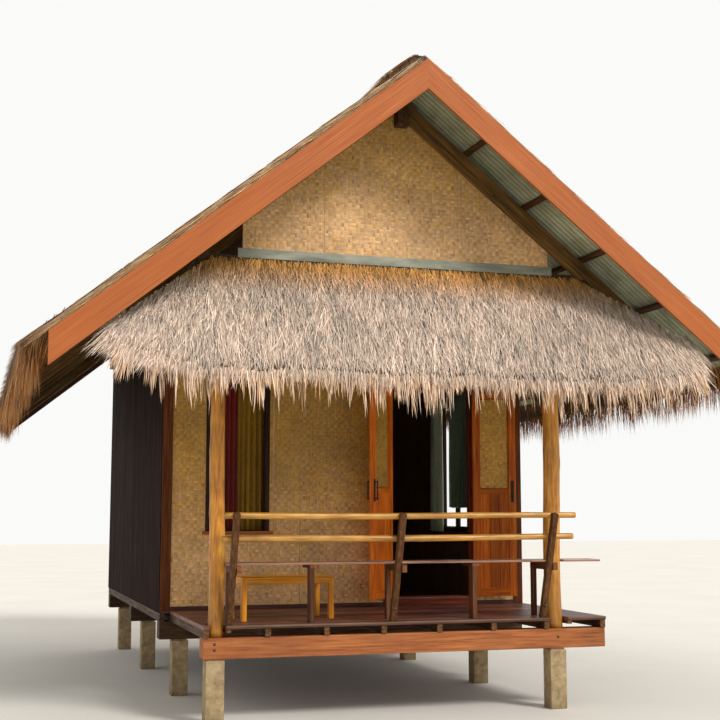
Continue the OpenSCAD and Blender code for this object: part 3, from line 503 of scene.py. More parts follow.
# %% Deck, room floor and joists
POSTS = ((-1.515, 0.125), (1.400, 0.146))       # where each log post stands, and how thick
POST_Y, DECK_FRONT = -2.726, -2.833
JOIST_LOW, DECK_LOW, DECK_TOP, WALL_TOP = 0.662, 0.728, 0.758, 3.475
FRONT_FACE, REAR_FACE, LEFT_FACE, RIGHT_FACE = -1.126, 3.194, -1.72, 1.83
BOARD_GAP, POST_GAP, SHORTEST = 0.006, 0.007, 0.02


def lay_boards(pile, low, high, step, cut=()):
    """Rows of boards from low to high, cut round the posts in cut. Returns how many rows."""
    rows = round((high[1] - low[1]) / step)
    step = (high[1] - low[1]) / rows
    for k in range(rows):
        front = low[1] + k * step
        edges = [low[0]]
        for x, thick in cut:
            if front < POST_Y + thick / 2:
                edges += [x - thick / 2 - POST_GAP, x + thick / 2 + POST_GAP]
        edges.append(high[0])
        lift = even(-0.0008, 0.0004)
        for left, right in zip(edges[::2], edges[1::2]):
            if right - left > SHORTEST:
                bar(pile, (left, front, low[2]), (right, front + step - BOARD_GAP, high[2] + lift),
                    edge=0.004, ends=0.5, wild=0.26)
    return rows


deck = Pile()
low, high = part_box("porch_deck")
rows = lay_boards(deck, low, high, 0.115, cut=POSTS)
for left, right in ((-1.6275, -1.5825), (-1.4475, 1.322), (1.478, 1.83)):
    bar(deck, (left, low.y - 0.004, DECK_TOP - 0.016), (right, low.y - 0.0005, DECK_TOP - 0.001),
        edge=0.001, tint=1.0, shade=-0.4)        # the worn front edge, darker than the top
# the sill's top, pale as worn wood and as a painted highlight along its edge
bar(deck, (0.444, -1.1375, 0.8200), (1.306, -1.098, 0.8312), tint=1.0, edge=0.001)    # on the sill
for left, right in ((-1.63, 0.396), (1.354, 1.74)):
    bar(deck, (left, -1.139, DECK_TOP), (right, FRONT_FACE - 0.0002, DECK_TOP + 0.034),
        edge=0.002, shade=-0.45)                 # the skirting along the wall
deck.make("porch_deck_boards", deck_wood, "deck_boards", instead_of=["porch_deck"])
floor_boards = Pile()
lay_boards(floor_boards, *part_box("room_floor"), 0.12)
floor_boards.make("room_floor_boards", deck_wood, "deck_boards", instead_of=["room_floor"])

joists = Pile()
JOIST_WIDE, SHORT_WIDE = 0.045, 0.040
for x in (-1.605, -1.113, -0.633, -0.153, 0.327, 0.807, 1.287, 1.8075):
    bar(joists, (x - JOIST_WIDE / 2, DECK_FRONT, JOIST_LOW),
        (x + JOIST_WIDE / 2, REAR_FACE, DECK_LOW), "y", edge=0.003, ends=0.9)
for x in (-1.4275, 1.498):                       # a short one beside each log post
    bar(joists, (x - SHORT_WIDE / 2, DECK_FRONT, 0.700),
        (x + SHORT_WIDE / 2, FRONT_FACE, DECK_LOW), "y", edge=0.003, ends=0.9)
bar(joists, (LEFT_FACE, FRONT_FACE, JOIST_LOW), (-1.675, REAR_FACE, DECK_LOW), "y", edge=0.003)
joists.make("floor_joist_timbers", dark_board, "dark_timber", instead_of=["floor_joists"])
print("deck rows:", rows)

# %% [markdown]
# ## Peeled logs
# A peeled log is never round or straight. Its rings follow a gently bent line, its radius swells
# at each knot, and the peeling knife leaves long flats. The posts grow darker towards the foot,
# where rain splashes them.
# A straight cylinder with a rough finish would keep a straight outline, and the outline is what
# one sees of a rail in front of a wall, so the mesh itself is bent.

# %% A log as rings round a bent line
def log(pile, start, end, girth, bend, knots, rings, sides=20):
    """A log from start to end. girth is its radius at both ends, bend how far its middle sags."""
    start, end, bend = (np.asarray(v, float) for v in (start, end, bend))
    line = end - start
    long = np.linalg.norm(line)
    side = unit(np.cross(line, (0.31, 0.95, 0.17)))
    other = unit(np.cross(line, side))
    t = np.linspace(0, 1, rings)[:, None]
    turn = np.linspace(0, 2 * np.pi, sides, endpoint=False)[None]
    phase = even(0, 6.28, 6)
    wobble = 0.18 * girth[0] * np.sin(5.3 * t + phase[0]) * np.sin(np.pi * t)
    middle = start + t * line + np.sin(np.pi * t) * bend + wobble * side
    swell = 1 + 0.02 * (np.sin(2 * turn + 7 * t + phase[1]) + np.sin(3 * turn - 11 * t + phase[2])
                        + 0.7 * np.sin(23 * t + phase[3]))
    shade = np.zeros_like(swell)
    for _ in range(knots):
        at, way = even(0.05, 0.95), even(0, 6.28)
        off = np.abs((turn - way + np.pi) % (2 * np.pi) - np.pi)
        spot = np.exp(-((t - at) * long / 0.035) ** 2 - (off / 0.5) ** 2)
        swell += 0.09 * spot
        shade -= 0.45 * np.exp(-((t - at) * long / 0.014) ** 2 - (off / 0.22) ** 2)
    radius = (girth[0] + (girth[1] - girth[0]) * t) * swell
    points = middle[:, None] + radius[..., None] * (np.cos(turn)[..., None] * side
                                                    + np.sin(turn)[..., None] * other)
    grain = xyz(t * long, radius * np.cos(turn), radius * np.sin(turn)) + even(0, 40, 3)
    ends = np.stack([np.arange(sides)[::-1], (rings - 1) * sides + np.arange(sides)])
    pile.add(points, [net(rings, sides, True)[:, ::-1], ends[:, ::-1]], shade.ravel(), grain=grain)


posts = Pile()
for (x, thick), lean in zip(POSTS, ((0.008, 0.004, 0), (-0.009, 0.003, 0))):
    log(posts, (x, POST_Y, JOIST_LOW), (x, POST_Y, 3.355), (thick / 2, thick / 2 - 0.006), lean,
        knots=9, rings=60, sides=28)
posts.make("peeled_log_posts", log_wood, "peeled_log", instead_of=["log_posts"], smooth=True)
rails = Pile()
log(rails, (-1.511, -3.0225, 1.608), (1.468, -3.0225, 1.613), (0.026, 0.024), (0, 0, -0.004),
    knots=10, rings=80)
log(rails, (-1.518, -2.9664, 1.426), (1.468, -2.9664, 1.438), (0.027, 0.025), (0, 0, -0.003),
    knots=10, rings=80)
rails.make("porch_rail_logs", rail_wood, "peeled_log", instead_of=["porch_rails"], smooth=True)

# %% [markdown]
# ## Woven bamboo mats
# The walls, the gable and the upper half of the doors are mats of split bamboo. Two strips go
# over together for 34 millimetres and then under, so the wall is a chequer of small cells whose
# strips lie crosswise in turn. Each visible strip is a narrow crowned patch here, high in its
# middle and dipping where it goes under its neighbour. Faces that stay flat, such as the back
# of a mat, get the same chequer from shader nodes.
# Nodes would be less work everywhere, but the lamp picks out real patches one by one, also in a
# close view.

# %% The mat's finish, with strips drawn by nodes for the flat faces
CELL, STRIPS = 0.034, 2                          # one cell of the chequer, and its strips
mat_tones = [(154, 108, 34), (197, 146, 54), (226, 180, 84)]
mat_pale = [(162, 124, 82), (198, 157, 110), (218, 184, 140)]
mat = fibre("woven_mat", mat_tones, (12, 240, 240), patch=(2.4, 0.2), rough=(0.4, 0.6), bump=0.3,
            relief=0.0005, second=mat_pale)


def mat_by_nodes(name, tones):
    """The same chequer of strips for a flat face that looks to the front or the rear."""
    work = Finish(name)
    tones = [tone(*swatch) for swatch in tones]
    place = work.node("TexCoord").outputs["Object"]
    split = work.node("SeparateXYZ", {0: place}).outputs
    ways = split[0], split[2]
    cells = [work.sum("FLOOR", work.sum("DIVIDE", way, CELL), 0.0) for way in ways]
    turned = work.sum("FLOORED_MODULO", work.sum("ADD", *cells), 2.0)
    crowns = []
    for across, down in ((ways[0], ways[1]), (ways[1], ways[0])):
        strip = work.sum("PINGPONG", work.sum("DIVIDE", across, CELL / STRIPS), 0.5)
        length = work.sum("PINGPONG", work.sum("DIVIDE", down, CELL), 0.5)
        crowns.append(work.sum("MULTIPLY", work.sum("POWER", strip, 0.4),
                               work.sum("POWER", length, 0.4)))
    height = work.node("Mix", {0: turned, 2: crowns[0], 3: crowns[1]}).outputs[0]
    fleck = work.noise(place, 130.0, 3.0)
    colour = work.ramp(fleck, [(0.3, tones[0]), (0.5, tones[1]), (0.7, tones[2])])
    broad = work.between(work.noise(place, 2.4, 3.0), 0.3, 0.7, 0.82, 1.16)
    # strips are painted darker where they dip under a neighbour: painted shade in the dips
    light = work.sum("MULTIPLY", broad, work.between(height, 0.2, 0.55, 0.6, 1.08))
    # cells whose strips lie one way are painted lighter than the others: painted sheen
    light = work.sum("MULTIPLY", light, work.between(turned, 0.0, 1.0, 0.93, 1.07))
    roughness = work.between(fleck, 0.3, 0.7, 0.65, 0.45)
    return work.close(colour, light, tones[1], roughness, height, 0.6, 0.002)


mat_flat = mat_by_nodes("woven_mat_flat", [(152, 110, 50), (192, 148, 80), (220, 180, 112)])
# a dark copy of the mat for the front wall above the porch gable: painted shade under the roof
mat_in_shade = mat_by_nodes("woven_mat_in_shade", [(52, 34, 22), (74, 50, 32), (96, 70, 46)])
for node in ("front_wall_left", "front_wall_over_door", "front_wall_right", "rear_wall",
             "gable_panel", "rear_gable"):
    dress(node, mat_flat, 0)
dress("room_gable", mat_in_shade, 0)
print("mats by nodes:", mat_flat.name, mat_in_shade.name)

# %% Strips as crowned patches
GAP, CROWN = 0.0004, 0.0022                      # beside a strip, and the height of its middle


def weave(pile, face, patches, phase, shade, right=X, limit=None, calm=1.0, paleness_and_light=None):
    """Strips over rectangles (left, right, low, high) of the wall whose outer face is at Y = face.
    right is the wall's right hand as one stands before it. limit is the height at which a slope
    cuts the mat, calm how much the strips differ. The function of height gives how pale they
    are at each height, which sets their tint and also their painted light and shade."""
    out, tint = np.cross(right, Z), 0.0
    for left, far, low, high in patches:
        i = np.arange(math.floor((left - phase[0]) / CELL), math.ceil((far - phase[0]) / CELL))
        j = np.arange(math.floor((low - phase[1]) / CELL), math.ceil((high - phase[1]) / CELL))
        i, j, k = (v.ravel() for v in np.meshgrid(i, j, np.arange(STRIPS), indexing="ij"))
        lying = (i + j) % 2 == 0
        run0, cross0 = np.where(lying, i, j) * CELL, np.where(lying, j, i) * CELL
        run0 = run0 + np.where(lying, phase[0], phase[1])
        cross0 = cross0 + np.where(lying, phase[1], phase[0]) + k * CELL / STRIPS
        run = np.stack([run0, run0 + CELL / 2, run0 + CELL], 1)
        cross = np.stack([cross0 + GAP, cross0 + CELL / STRIPS - GAP], 1)
        a = np.where(lying[:, None, None], run[:, :, None], cross[:, None, :])
        b = np.where(lying[:, None, None], cross[:, None, :], run[:, :, None])
        a, b = np.broadcast_arrays(a, b)
        a, b = a.clip(left, far), b.clip(low, high)
        if limit:
            b = np.minimum(b, limit(a))
        size = (np.ptp(a, (1, 2)) > 0.001) & (np.ptp(b, (1, 2)) > 0.001)
        a, b, lying = a[size], b[size], lying[size]
        count = len(a)
        rise = np.array([[GAP], [CROWN], [GAP]]) + even(0, 0.0007, (count, 1, 1))
        points = face * Y + a[..., None] * right + b[..., None] * Z + rise[..., None] * out
        grain = np.where(lying[:, None, None, None], xyz(a, b, b), xyz(b, a, a))
        grain = grain + even(0, 9, (count, 1, 1, 1))
        start = (np.arange(count) * 6)[:, None]
        quads = np.concatenate([start + [0, 2, 3, 1], start + [2, 4, 5, 3]])
        upright = np.tile(~lying, 2)
        quads[upright] = quads[upright][:, ::-1]
        # strips lying one way are painted a little lighter than upright ones: painted sheen
        own = shade + calm * (np.where(lying, 0.05, -0.05) + bell(0, 0.11, count))
        if paleness_and_light:
            height = b.mean((1, 2))
            pale = paleness_and_light(height)
            # painted light and shade by height: the paler strips are also painted lighter
            own = own * (0.8 + 0.9 * pale) + 0.62 * pale - 0.12
            if face == FRONT_FACE:               # the wall's top is in the roof's shade
                own = own - 0.9 * np.clip((height - 3.25) / 0.2, 0, 1)
            tint = np.repeat(pale + bell(0, 0.22, count), 6).clip(0, 1)
        pile.add(points, [quads], np.repeat(own, 6), tint=tint, grain=grain)


def weathered_and_lit(height):
    """Rain and sun reach the lower part of the wall, which is paler for it. The same number
    also paints the lower part lighter and the top darker: painted light and shade.
    """
    return 0.9 * np.clip((2.25 - height) / 1.1, 0, 1)


print("each strip is", round(1000 * CELL / STRIPS), "mm wide")

# %% The three mats of the front wall, round its window and its door
WINDOW_LEFT, WINDOW_RIGHT, WINDOW_LOW, WINDOW_TOP = -1.32, -0.72, 1.435, 2.875
DOOR_LEFT, DOOR_RIGHT, DOOR_TOP = 0.397, 1.353, 2.873
front_mats = Pile()
for phase, shade, patches in (
        ((0, 0), 0.06, [(-1.63, WINDOW_LEFT, DECK_TOP, WALL_TOP),
                        (WINDOW_LEFT, WINDOW_RIGHT, DECK_TOP, WINDOW_LOW),
                        (WINDOW_LEFT, WINDOW_RIGHT, WINDOW_TOP, WALL_TOP),
                        (WINDOW_RIGHT, -0.428, DECK_TOP, WALL_TOP)]),
        ((0.013, 0.021), 0.0, [(-0.422, DOOR_LEFT, DECK_TOP, WALL_TOP)]),
        ((0.004, 0.011), -0.04, [(DOOR_LEFT, DOOR_RIGHT, DOOR_TOP, WALL_TOP),
                                 (DOOR_RIGHT, 1.74, DECK_TOP, WALL_TOP)])):
    weave(front_mats, FRONT_FACE, patches, phase, shade, paleness_and_light=weathered_and_lit)
bar(front_mats, (-0.689, FRONT_FACE - 0.008, 1.466), (-0.674, FRONT_FACE - 0.0002, WINDOW_TOP),
    "z", tint=0.8, edge=0.002)                   # a thin batten beside the window
front_mats.make("front_wall_mats", mat, "woven_mat")

# %% [markdown]
# ## The gable
# The gable above the awning is two mats butted together left of the ridge beam. Painted shade
# of the roof overhang darkens them under the ridge, and their edges are cut to the slope.
# A Boolean modifier could cut them. It is simpler to hold every strip's corners under the line.

# %% Gable mats
RIDGE, STEEP = 5.25, 0.804                       # the roof line's height, and its fall per metre
GABLE_PEAK, GABLE_LOW, GABLE_FACE = RIDGE - 0.2035, 3.722, -2.826


def under_roof(x):
    """The height at which the slope cuts the gable's mats."""
    return GABLE_PEAK - 0.004 - STEEP * np.abs(x)


def painted_gable_light(height):
    """Painted shade of the roof overhang: the gable's mats are dark under the ridge and pale just
    over the awning, in their tint and their shade.
    """
    return 0.25 + 0.65 * np.clip((4.75 - height) / 0.75, 0, 1)


gable_mats = Pile()
for left, right, high, start in ((-1.35, -0.668, 5.05, 0.0), (-0.662, -0.056, 5.05, 0.015),
                                 (0.056, 1.35, 5.05, 0.015), (-0.056, 0.056, 4.88, 0.015)):
    weave(gable_mats, GABLE_FACE, [(left, right, GABLE_LOW, high)], (start, start), -0.24,
          limit=under_roof, calm=0.8, paleness_and_light=painted_gable_light)
gable_mats.make("gable_mats", mat, "woven_mat")

# %% [markdown]
# ## Strips and an edge board
# Where two mats of the rear wall meet, a narrow strip covers the joint. On the front, the right
# end of the gable is closed by a thin board under the rafter, in two lengths.

# %% Cover strips over the joints of the rear wall's mats
rear_battens = Pile()
for x, low, high in ((-0.55, 0.80, 3.650), (0.62, 0.80, 3.650), (0.03, 3.702, 4.86)):
    bar(rear_battens, (x - 0.022, REAR_FACE + 0.0005, low), (x + 0.022, REAR_FACE + 0.012, high),
        "z", edge=0.002)
bar(rear_battens, (-1.66, REAR_FACE + 0.0005, 3.652), (1.66, REAR_FACE + 0.013, 3.700), edge=0.002)
rear_battens.make("rear_cover_strips", trim_wood, "dark_timber")

# %% The edge board under the right rafter
edge_wood = fibre("gable_edge_wood", rafter_tones, ALONG_X, gloss=0.2)
edge_board = Pile()
down_slope = np.array([math.cos(PITCH), 0, -math.sin(PITCH)])
off_slope = np.array([math.sin(PITCH), 0, math.cos(PITCH)])
for near, far, wide in ((0.062, 0.84, 0.060), (0.842, 1.70, 0.058)):
    middle = np.array([(near + far) / 2, GABLE_FACE - 0.0095, GABLE_PEAK - STEEP * (near + far) / 2])
    timber(edge_board, middle - off_slope * wide / 2, down_slope * (far - near) / math.cos(PITCH),
           off_slope * wide, Y * 0.014)
edge_board.make("gable_edge_board_right", edge_wood, "dark_timber")

# %% [markdown]
# ## The plank sides
# The long walls are upright dark planks on the outside of the frame. They are cut round the side
# window, and each board is a little lighter or darker, thicker or thinner than the next.
# Grooves in one panel would do from straight ahead, but along the wall the uneven faces show.

# %% Upright planks on both sides
def clad(pile, plane, out, hole):
    """Planks 139 mm wide up a side wall, 8 mm thick, cut round hole (front, back, low, high)."""
    edges = np.linspace(FRONT_FACE, REAR_FACE, 32)
    for front, back in zip(edges[:-1] + 0.002, edges[1:] - 0.002):
        spans = [(0.735, WALL_TOP - 0.01)]
        if hole and back > hole[0] and front < hole[1]:
            spans = [(0.735, hole[2]), (hole[3], WALL_TOP - 0.01)]
        face = plane + out * (0.008 + even(-0.0015, 0.001))
        for low, high in spans:
            bar(pile, (min(plane, face), front, low), (max(plane, face), back, high), "z",
                edge=0.002, wild=0.14, ends=0.4)


# a much lighter copy for the inside faces: painted light in the dark room
inner_planks_lit = fibre("inner_planks_lit", [(96, 64, 44), (134, 94, 66), (160, 120, 88)],
                     ALONG_Z, stored=False)
for side, plane, out, hole in (("left", LEFT_FACE, -1, None),
                               ("right", RIGHT_FACE, 1, (0.004, 0.994, 1.434, 2.876))):
    planks = Pile()
    clad(planks, plane, out, hole)
    planks.make(side + "_wall_planks", plank_wood_in_shade, "dark_planks")
    dress(side + "_wall", inner_planks_lit, 0)

# %% [markdown]
# ## The doorway and the windows
# A joiner makes a door frame from jambs, a head and a sill, each a board of its own with its
# fibres along it, and the joints between them show as fine lines. The side window is drawn once
# as if it stood in the front wall and then turned to face right.

# %% Joinery of the doorway
def frame_round(pile, x0, x1, front, back, low, high, side, foot=None, **more):
    """Two jambs with a head and a foot between them."""
    foot = side if foot is None else foot
    bar(pile, (x0, front, low), (x0 + side, back, high), "z", **more)
    bar(pile, (x1 - side, front, low), (x1, back, high), "z", **more)
    bar(pile, (x0 + side, front, high - side), (x1 - side, back, high), "x", **more)
    bar(pile, (x0 + side, front, low), (x1 - side, back, low + foot), "x", **more)


JAMB, SILL, STOP = 0.045, 0.070, 0.015           # how far each board reaches into the opening
doorway = Pile()
frame_round(doorway, DOOR_LEFT, DOOR_RIGHT, -1.136, -1.046, DECK_TOP, DOOR_TOP, JAMB, SILL,
            edge=0.003)
frame_round(doorway, DOOR_LEFT + JAMB, DOOR_RIGHT - JAMB, -1.093, -1.046, DECK_TOP + SILL,
            DOOR_TOP - JAMB, STOP)
# only the front edge of this strip shows, pale under the worn top of the sill: painted highlight
bar(doorway, (0.444, -1.138, 0.8275), (1.306, -1.098, 0.8310), shade=0.9, edge=0.001)
doorway.make("doorway_joinery", jamb_wood, "door_wood", instead_of=["door_frame"])

# %% Joinery of the windows
FRONT_WAY = np.eye(3), np.array([WINDOW_LEFT, FRONT_FACE, 0])
# the side window is the same frame, turned to face right
SIDE_WAY = np.array([[0, -1, 0], [1, 0, 0], [0, 0, 1]]), np.array([RIGHT_FACE, 0.034, 0])
CASING, SASH_WIDE, SASH_EDGE, MULLION = 0.042, 0.400, 0.012, 0.046
SASH_LOW, SASH_HIGH = WINDOW_LOW + CASING, WINDOW_TOP - CASING
SIDE_WIDE = 2 * (CASING + SASH_WIDE) + MULLION   # the side window has two sashes
windows, sills = Pile(), Pile()
for width, place in ((WINDOW_RIGHT - WINDOW_LEFT, FRONT_WAY), (SIDE_WIDE, SIDE_WAY)):
    windows.turn = sills.turn = place
    frame_round(windows, 0, width, -0.010, 0.090, WINDOW_LOW, WINDOW_TOP, CASING, edge=0.003)
    bar(sills, (-0.030, -0.045, WINDOW_LOW), (width + 0.030, -0.0102, 1.465), edge=0.004, ends=0.3)
sills.make("window_sills", beam_wood, "red_timber")
middle = CASING + SASH_WIDE                      # the mullion's near side
bar(windows, (middle, 0, SASH_LOW), (middle + MULLION, 0.045, SASH_HIGH), "z", edge=0.003)
for left in (CASING, middle + MULLION):
    frame_round(windows, left, left + SASH_WIDE, 0.020, 0.034, SASH_LOW, SASH_HIGH, SASH_EDGE)
windows.make("window_joinery", window_wood, "window_wood", instead_of=["window_frames"])

# %% [markdown]
# ## The two door leaves
# Each leaf is framed: two stiles, three rails, a woven mat above and three boards below. It is
# made here closed, with its hinge pin at the origin, then turned to where it stands open. The
# right leaf is the same leaf in a mirror, so the placing matrix mirrors it too. Every piece
# rides on its leaf.
# It could be made where it stands open, but then every number would lie at a slant.

# %% Door leaves, built closed and then hung
def turned(degrees):
    """The matrix that turns a thing about an upright line."""
    c, s = math.cos(math.radians(degrees)), math.sin(math.radians(degrees))
    return np.array([[c, -s, 0], [s, c, 0], [0, 0, 1]])


LEAF_FOOT, LEAF_HIGH, LEAF_FACES = 0.836, 1.984, (0.014, 0.049)
STILES = ((0.004, 0.072), (0.357, 0.425))
NEAR, FAR = STILES[0][1], STILES[1][0]           # the opening between the stiles
BOARDS_LOW, BOARDS_HIGH, MAT_LOW, MAT_HIGH = 0.080, 0.978, 1.030, 1.910
# for each leaf: how it is turned, where its hinge stands, and how much painted light its wood
# gets, lighter on the left leaf and darker on the right
LEAVES = {"left": (turned(-135), np.array([0.446, -1.150, LEAF_FOOT]), 0.25),
          "right": (turned(165) @ np.diag([-1.0, 1, 1]), np.array([1.304, -1.150, LEAF_FOOT]),
                    -0.22)}

for side, (turn, hinge, painted_leaf_light) in LEAVES.items():
    body = side + "_leaf"
    joinery, boards, mats = Pile(), Pile(), Pile()
    joinery.turn = boards.turn = mats.turn = turn, hinge
    for x0, x1 in STILES:
        bar(joinery, (x0, LEAF_FACES[0], 0), (x1, LEAF_FACES[1], LEAF_HIGH), "z", edge=0.0025,
            shade=painted_leaf_light)
    for low, high in ((0, BOARDS_LOW), (BOARDS_HIGH, MAT_LOW), (MAT_HIGH, LEAF_HIGH)):
        bar(joinery, (NEAR, LEAF_FACES[0] + 0.0004, low), (FAR, LEAF_FACES[1] - 0.0004, high),
            edge=0.002, shade=painted_leaf_light - 0.06)
    for y0, y1 in ((0.0145, 0.0195), (0.0305, 0.0385)):
        frame_round(joinery, NEAR, FAR, y0, y1, MAT_LOW, MAT_HIGH, 0.009, edge=0.002,
                    shade=painted_leaf_light - 0.12)
    bar(joinery, (NEAR, 0.0195, MAT_LOW), (FAR, 0.0488, MAT_LOW + 0.0035), shade=-0.55, edge=0.001)
    for k in range(3):
        bar(boards, (0.0725 + 0.095 * k, 0.028, BOARDS_LOW),
            (0.1665 + 0.095 * k, 0.044, BOARDS_HIGH), "z", edge=0.0035, wild=0.12, shade=painted_leaf_light)
    bar(mats, (0.068, 0.0225, 1.027), (0.361, 0.0275, 1.913), shade=-0.3)
    for face, right, left, far in ((0.0275, -X, -FAR, -NEAR), (0.0225, X, NEAR, FAR)):
        weave(mats, face, [(left, far, MAT_LOW + 0.009, MAT_HIGH - 0.009)], (0.006, 0.0), -0.05, right)
    joinery.make(body + "_joinery", door_wood, "door_wood", body, [body + "_frame"])
    boards.make(body + "_boards", door_wood, "door_panels", body, [body + "_panels"])
    mats.make(body + "_mat", mat, "door_panels", body)

# %% [markdown]
# ## Curtains
# A curtain is one cloth, wider than the space it covers, gathered into folds under its rod. The
# folds are deepest at the hem and small at the heading, where they pass round the rod. Cloth
# keeps its area, so the flat width is measured along the wave and used for the cloth's grain.
# A cloth simulation could drape it. A wave with an uneven beat gives the same hanging folds at
# once, and its length along the cloth is known.

# %% Gathered cloth
def cloth(name, tones, through=0.0):
    """A woven cloth. through is the share of light that shines through it from the window."""
    made = fibre(name, tones, (260, 260, 30), rough=(0.75, 0.9), bump=0.25, relief=0.0006,
                 sheen=0.3, patch=(3.0, 0.15))
    skin = made.node_tree.nodes["Principled BSDF"]
    skin.inputs["Transmission Weight"].default_value = through
    skin.inputs["IOR"].default_value = 1.15
    return made


def curtain(name, start, way, wide, low, folds, material, fold_light_and_shade=0.25):
    """A cloth hung from start, along way. The last number is how much painted shade falls inside
    its folds, with painted light on their crests.
    """
    start, way = np.asarray(start, float), np.asarray(way, float)
    out = np.cross(way, Z)
    u, v = np.meshgrid(np.linspace(0, 1, folds * 14 + 1), np.linspace(0, 1, 40), indexing="ij")
    phase = even(0, 6.28, 4)
    uneven = 0.35 * np.sin(2.1 * np.pi * u * 3 + phase[0]) + 0.25 * np.sin(9 * u + phase[1])
    swing = np.sin(2 * np.pi * folds * u + uneven + 0.7 * v * np.sin(5 * u + phase[2]))
    wave = (0.0105 + 0.0085 * np.minimum(1, v * 1.6)) * swing
    along = wide * (u + 0.012 * np.sin(4 * np.pi * folds * u) * v
                    + 0.02 * v * np.sin(2 * np.pi * u + phase[3]) * (u * (1 - u)) * 4)
    points = start + along[..., None] * way + wave[..., None] * out
    points[..., 2] = start[2] - v * (start[2] - low) - 0.006 * np.sin(6.28 * folds * u) * v ** 6
    run = np.linalg.norm(np.diff(points[:, u.shape[1] // 2], axis=0), axis=1).sum()
    sheet = Pile()
    # painted shade inside the folds and painted light on their crests
    sheet.add(points, [net(*u.shape)], fold_light_and_shade * swing.ravel(),
              grain=xyz(u * run, 0, v * (start[2] - low)))
    thing = sheet.make(name, material, "curtain_cloth", instead_of=["curtains"], smooth=True)


dark_red = cloth("dark_red_cloth", [(84, 16, 10), (122, 26, 16), (150, 44, 28)])
olive = cloth("olive_cloth", [(104, 76, 8), (141, 104, 16), (170, 132, 36)])
deep_green = cloth("deep_green_cloth", [(92, 110, 92), (128, 146, 122), (158, 174, 150)], 0.20)
pale_green = cloth("pale_green_cloth", [(170, 180, 158), (206, 212, 190), (230, 234, 214)], 0.16)
ROD_TOP, FRONT_ROD, SIDE_ROD = 2.9225, -0.986, 1.69    # on Z, on Y and on X
curtain("front_curtain_narrow", (-1.276, FRONT_ROD, ROD_TOP), X, 0.276, 1.375, 6, dark_red)
curtain("front_curtain_wide", (-0.996, FRONT_ROD, ROD_TOP), X, 0.253, 1.375, 5, olive, 0.10)
curtain("side_curtain_near", (SIDE_ROD, -0.099, ROD_TOP), Y, 0.531, 1.695, 11, deep_green)
curtain("side_curtain_far", (SIDE_ROD, 0.681, ROD_TOP), Y, 0.346, 1.435, 7, pale_green)

# %% [markdown]
# ## Bench and table
# The bench is one long plank. At each leaning post a bearer on edge carries it, with a leg under
# its rear end, and between them two flat bearers stand on a leg near the deck's edge. The low
# table behind it is varnished yellow: four legs, an apron between them and a top of three
# boards, all turned a little away from the bench.
# The seat keeps the frame's mesh, because it is one plain plank. The rest are made anew, so
# that each timber has a shade and a grain of its own.

# %% Bench
bench_wood = fibre("bench_wood", [(124, 84, 66), (166, 120, 98), (194, 152, 130)],
                   ALONG_X, stored=False, rough=(0.3, 0.5), bump=0.3, coat=0.15)
dress("bench_seat", bench_wood, 0.004)
LEANING = np.array([-1.4225, -0.072, 1.259])     # the middle of each leaning post, along X
BENCH_REAR, SEAT_UNDER, LEG_WIDE = -2.518, 1.217, 0.038
legs = Pile()
for x in LEANING + 0.025:                        # a bearer on edge beside each leaning post
    bar(legs, (x, -2.983, 1.155), (x + LEG_WIDE, BENCH_REAR, SEAT_UNDER), "y", edge=0.003, ends=0.9)
    bar(legs, (x, -2.568, DECK_TOP), (x + LEG_WIDE, BENCH_REAR, 1.155), "z", edge=0.003, wild=0.12)
for x in (-0.758, 0.645):                        # a flat one between them
    bar(legs, (x, -2.768, 1.187), (x + 0.075, BENCH_REAR, SEAT_UNDER), "y", edge=0.003, ends=0.9)
    bar(legs, (x, -2.768, DECK_TOP), (x + LEG_WIDE, -2.678, 1.187), "z", edge=0.003, wild=0.12)
leg_wood = fibre("bench_legs", [(56, 28, 10), (88, 49, 22), (118, 74, 40)], ALONG_X, gloss=0.3)
legs.make("bench_leg_timbers", leg_wood, "dark_timber", instead_of=["bench_legs"])

# %% Table
table = Pile()
table.turn = turned(7.5), np.array([-1.255, -2.504, DECK_TOP])
long, wide, leg, apron_low, leg_top = 0.810, 0.350, 0.042, 0.288, 0.334
for x in (0, long - leg):
    for y in (0, wide - leg):
        bar(table, (x, y, 0), (x + leg, y + leg, leg_top), "z", edge=0.004)
for y in (0.004, wide - 0.025):
    bar(table, (leg, y, apron_low), (long - leg, y + 0.021, leg_top), edge=0.002)
for x in (0.004, long - 0.025):
    bar(table, (x, leg, apron_low), (x + 0.021, wide - leg, leg_top), "y", edge=0.002)
for k in range(3):
    bar(table, (0, k * wide / 3 + 0.0008, leg_top), (long, (k + 1) * wide / 3 - 0.0008, 0.350),
        edge=0.003, ends=0.15)
table.make("porch_table_timbers", table_wood, "table_wood", instead_of=["porch_table"])

# %% [markdown]
# ## Bolts and screws
# Bolts hold the front beam to the piers and the leaning posts to the deck, and small screws hold
# the hinge plates. Each is a low domed head on a washer, turned from one profile.
# A Screw modifier could turn it. Rings of points do the same and let all heads share a mesh.

# %% Bolt and screw heads
def stud(pile, place, out, radius):
    """A domed head with a washer, facing out."""
    profile = np.array([(1.7, 0), (1.7, 0.22), (1.0, 0.28), (1.0, 0.6), (0.7, 0.85), (0, 0.95)])
    side = unit(np.cross(out, (0.3, 0.5, 0.81)))
    other = np.cross(out, side)
    turn = np.linspace(0, 2 * np.pi, 10, endpoint=False)
    ring = np.cos(turn)[:, None] * side + np.sin(turn)[:, None] * other
    points = (np.asarray(place) + radius * (profile[:, 0, None, None] * ring
                                            + profile[:, 1, None, None] * np.asarray(out)))
    pile.add(points, [net(len(profile), 10, True)])


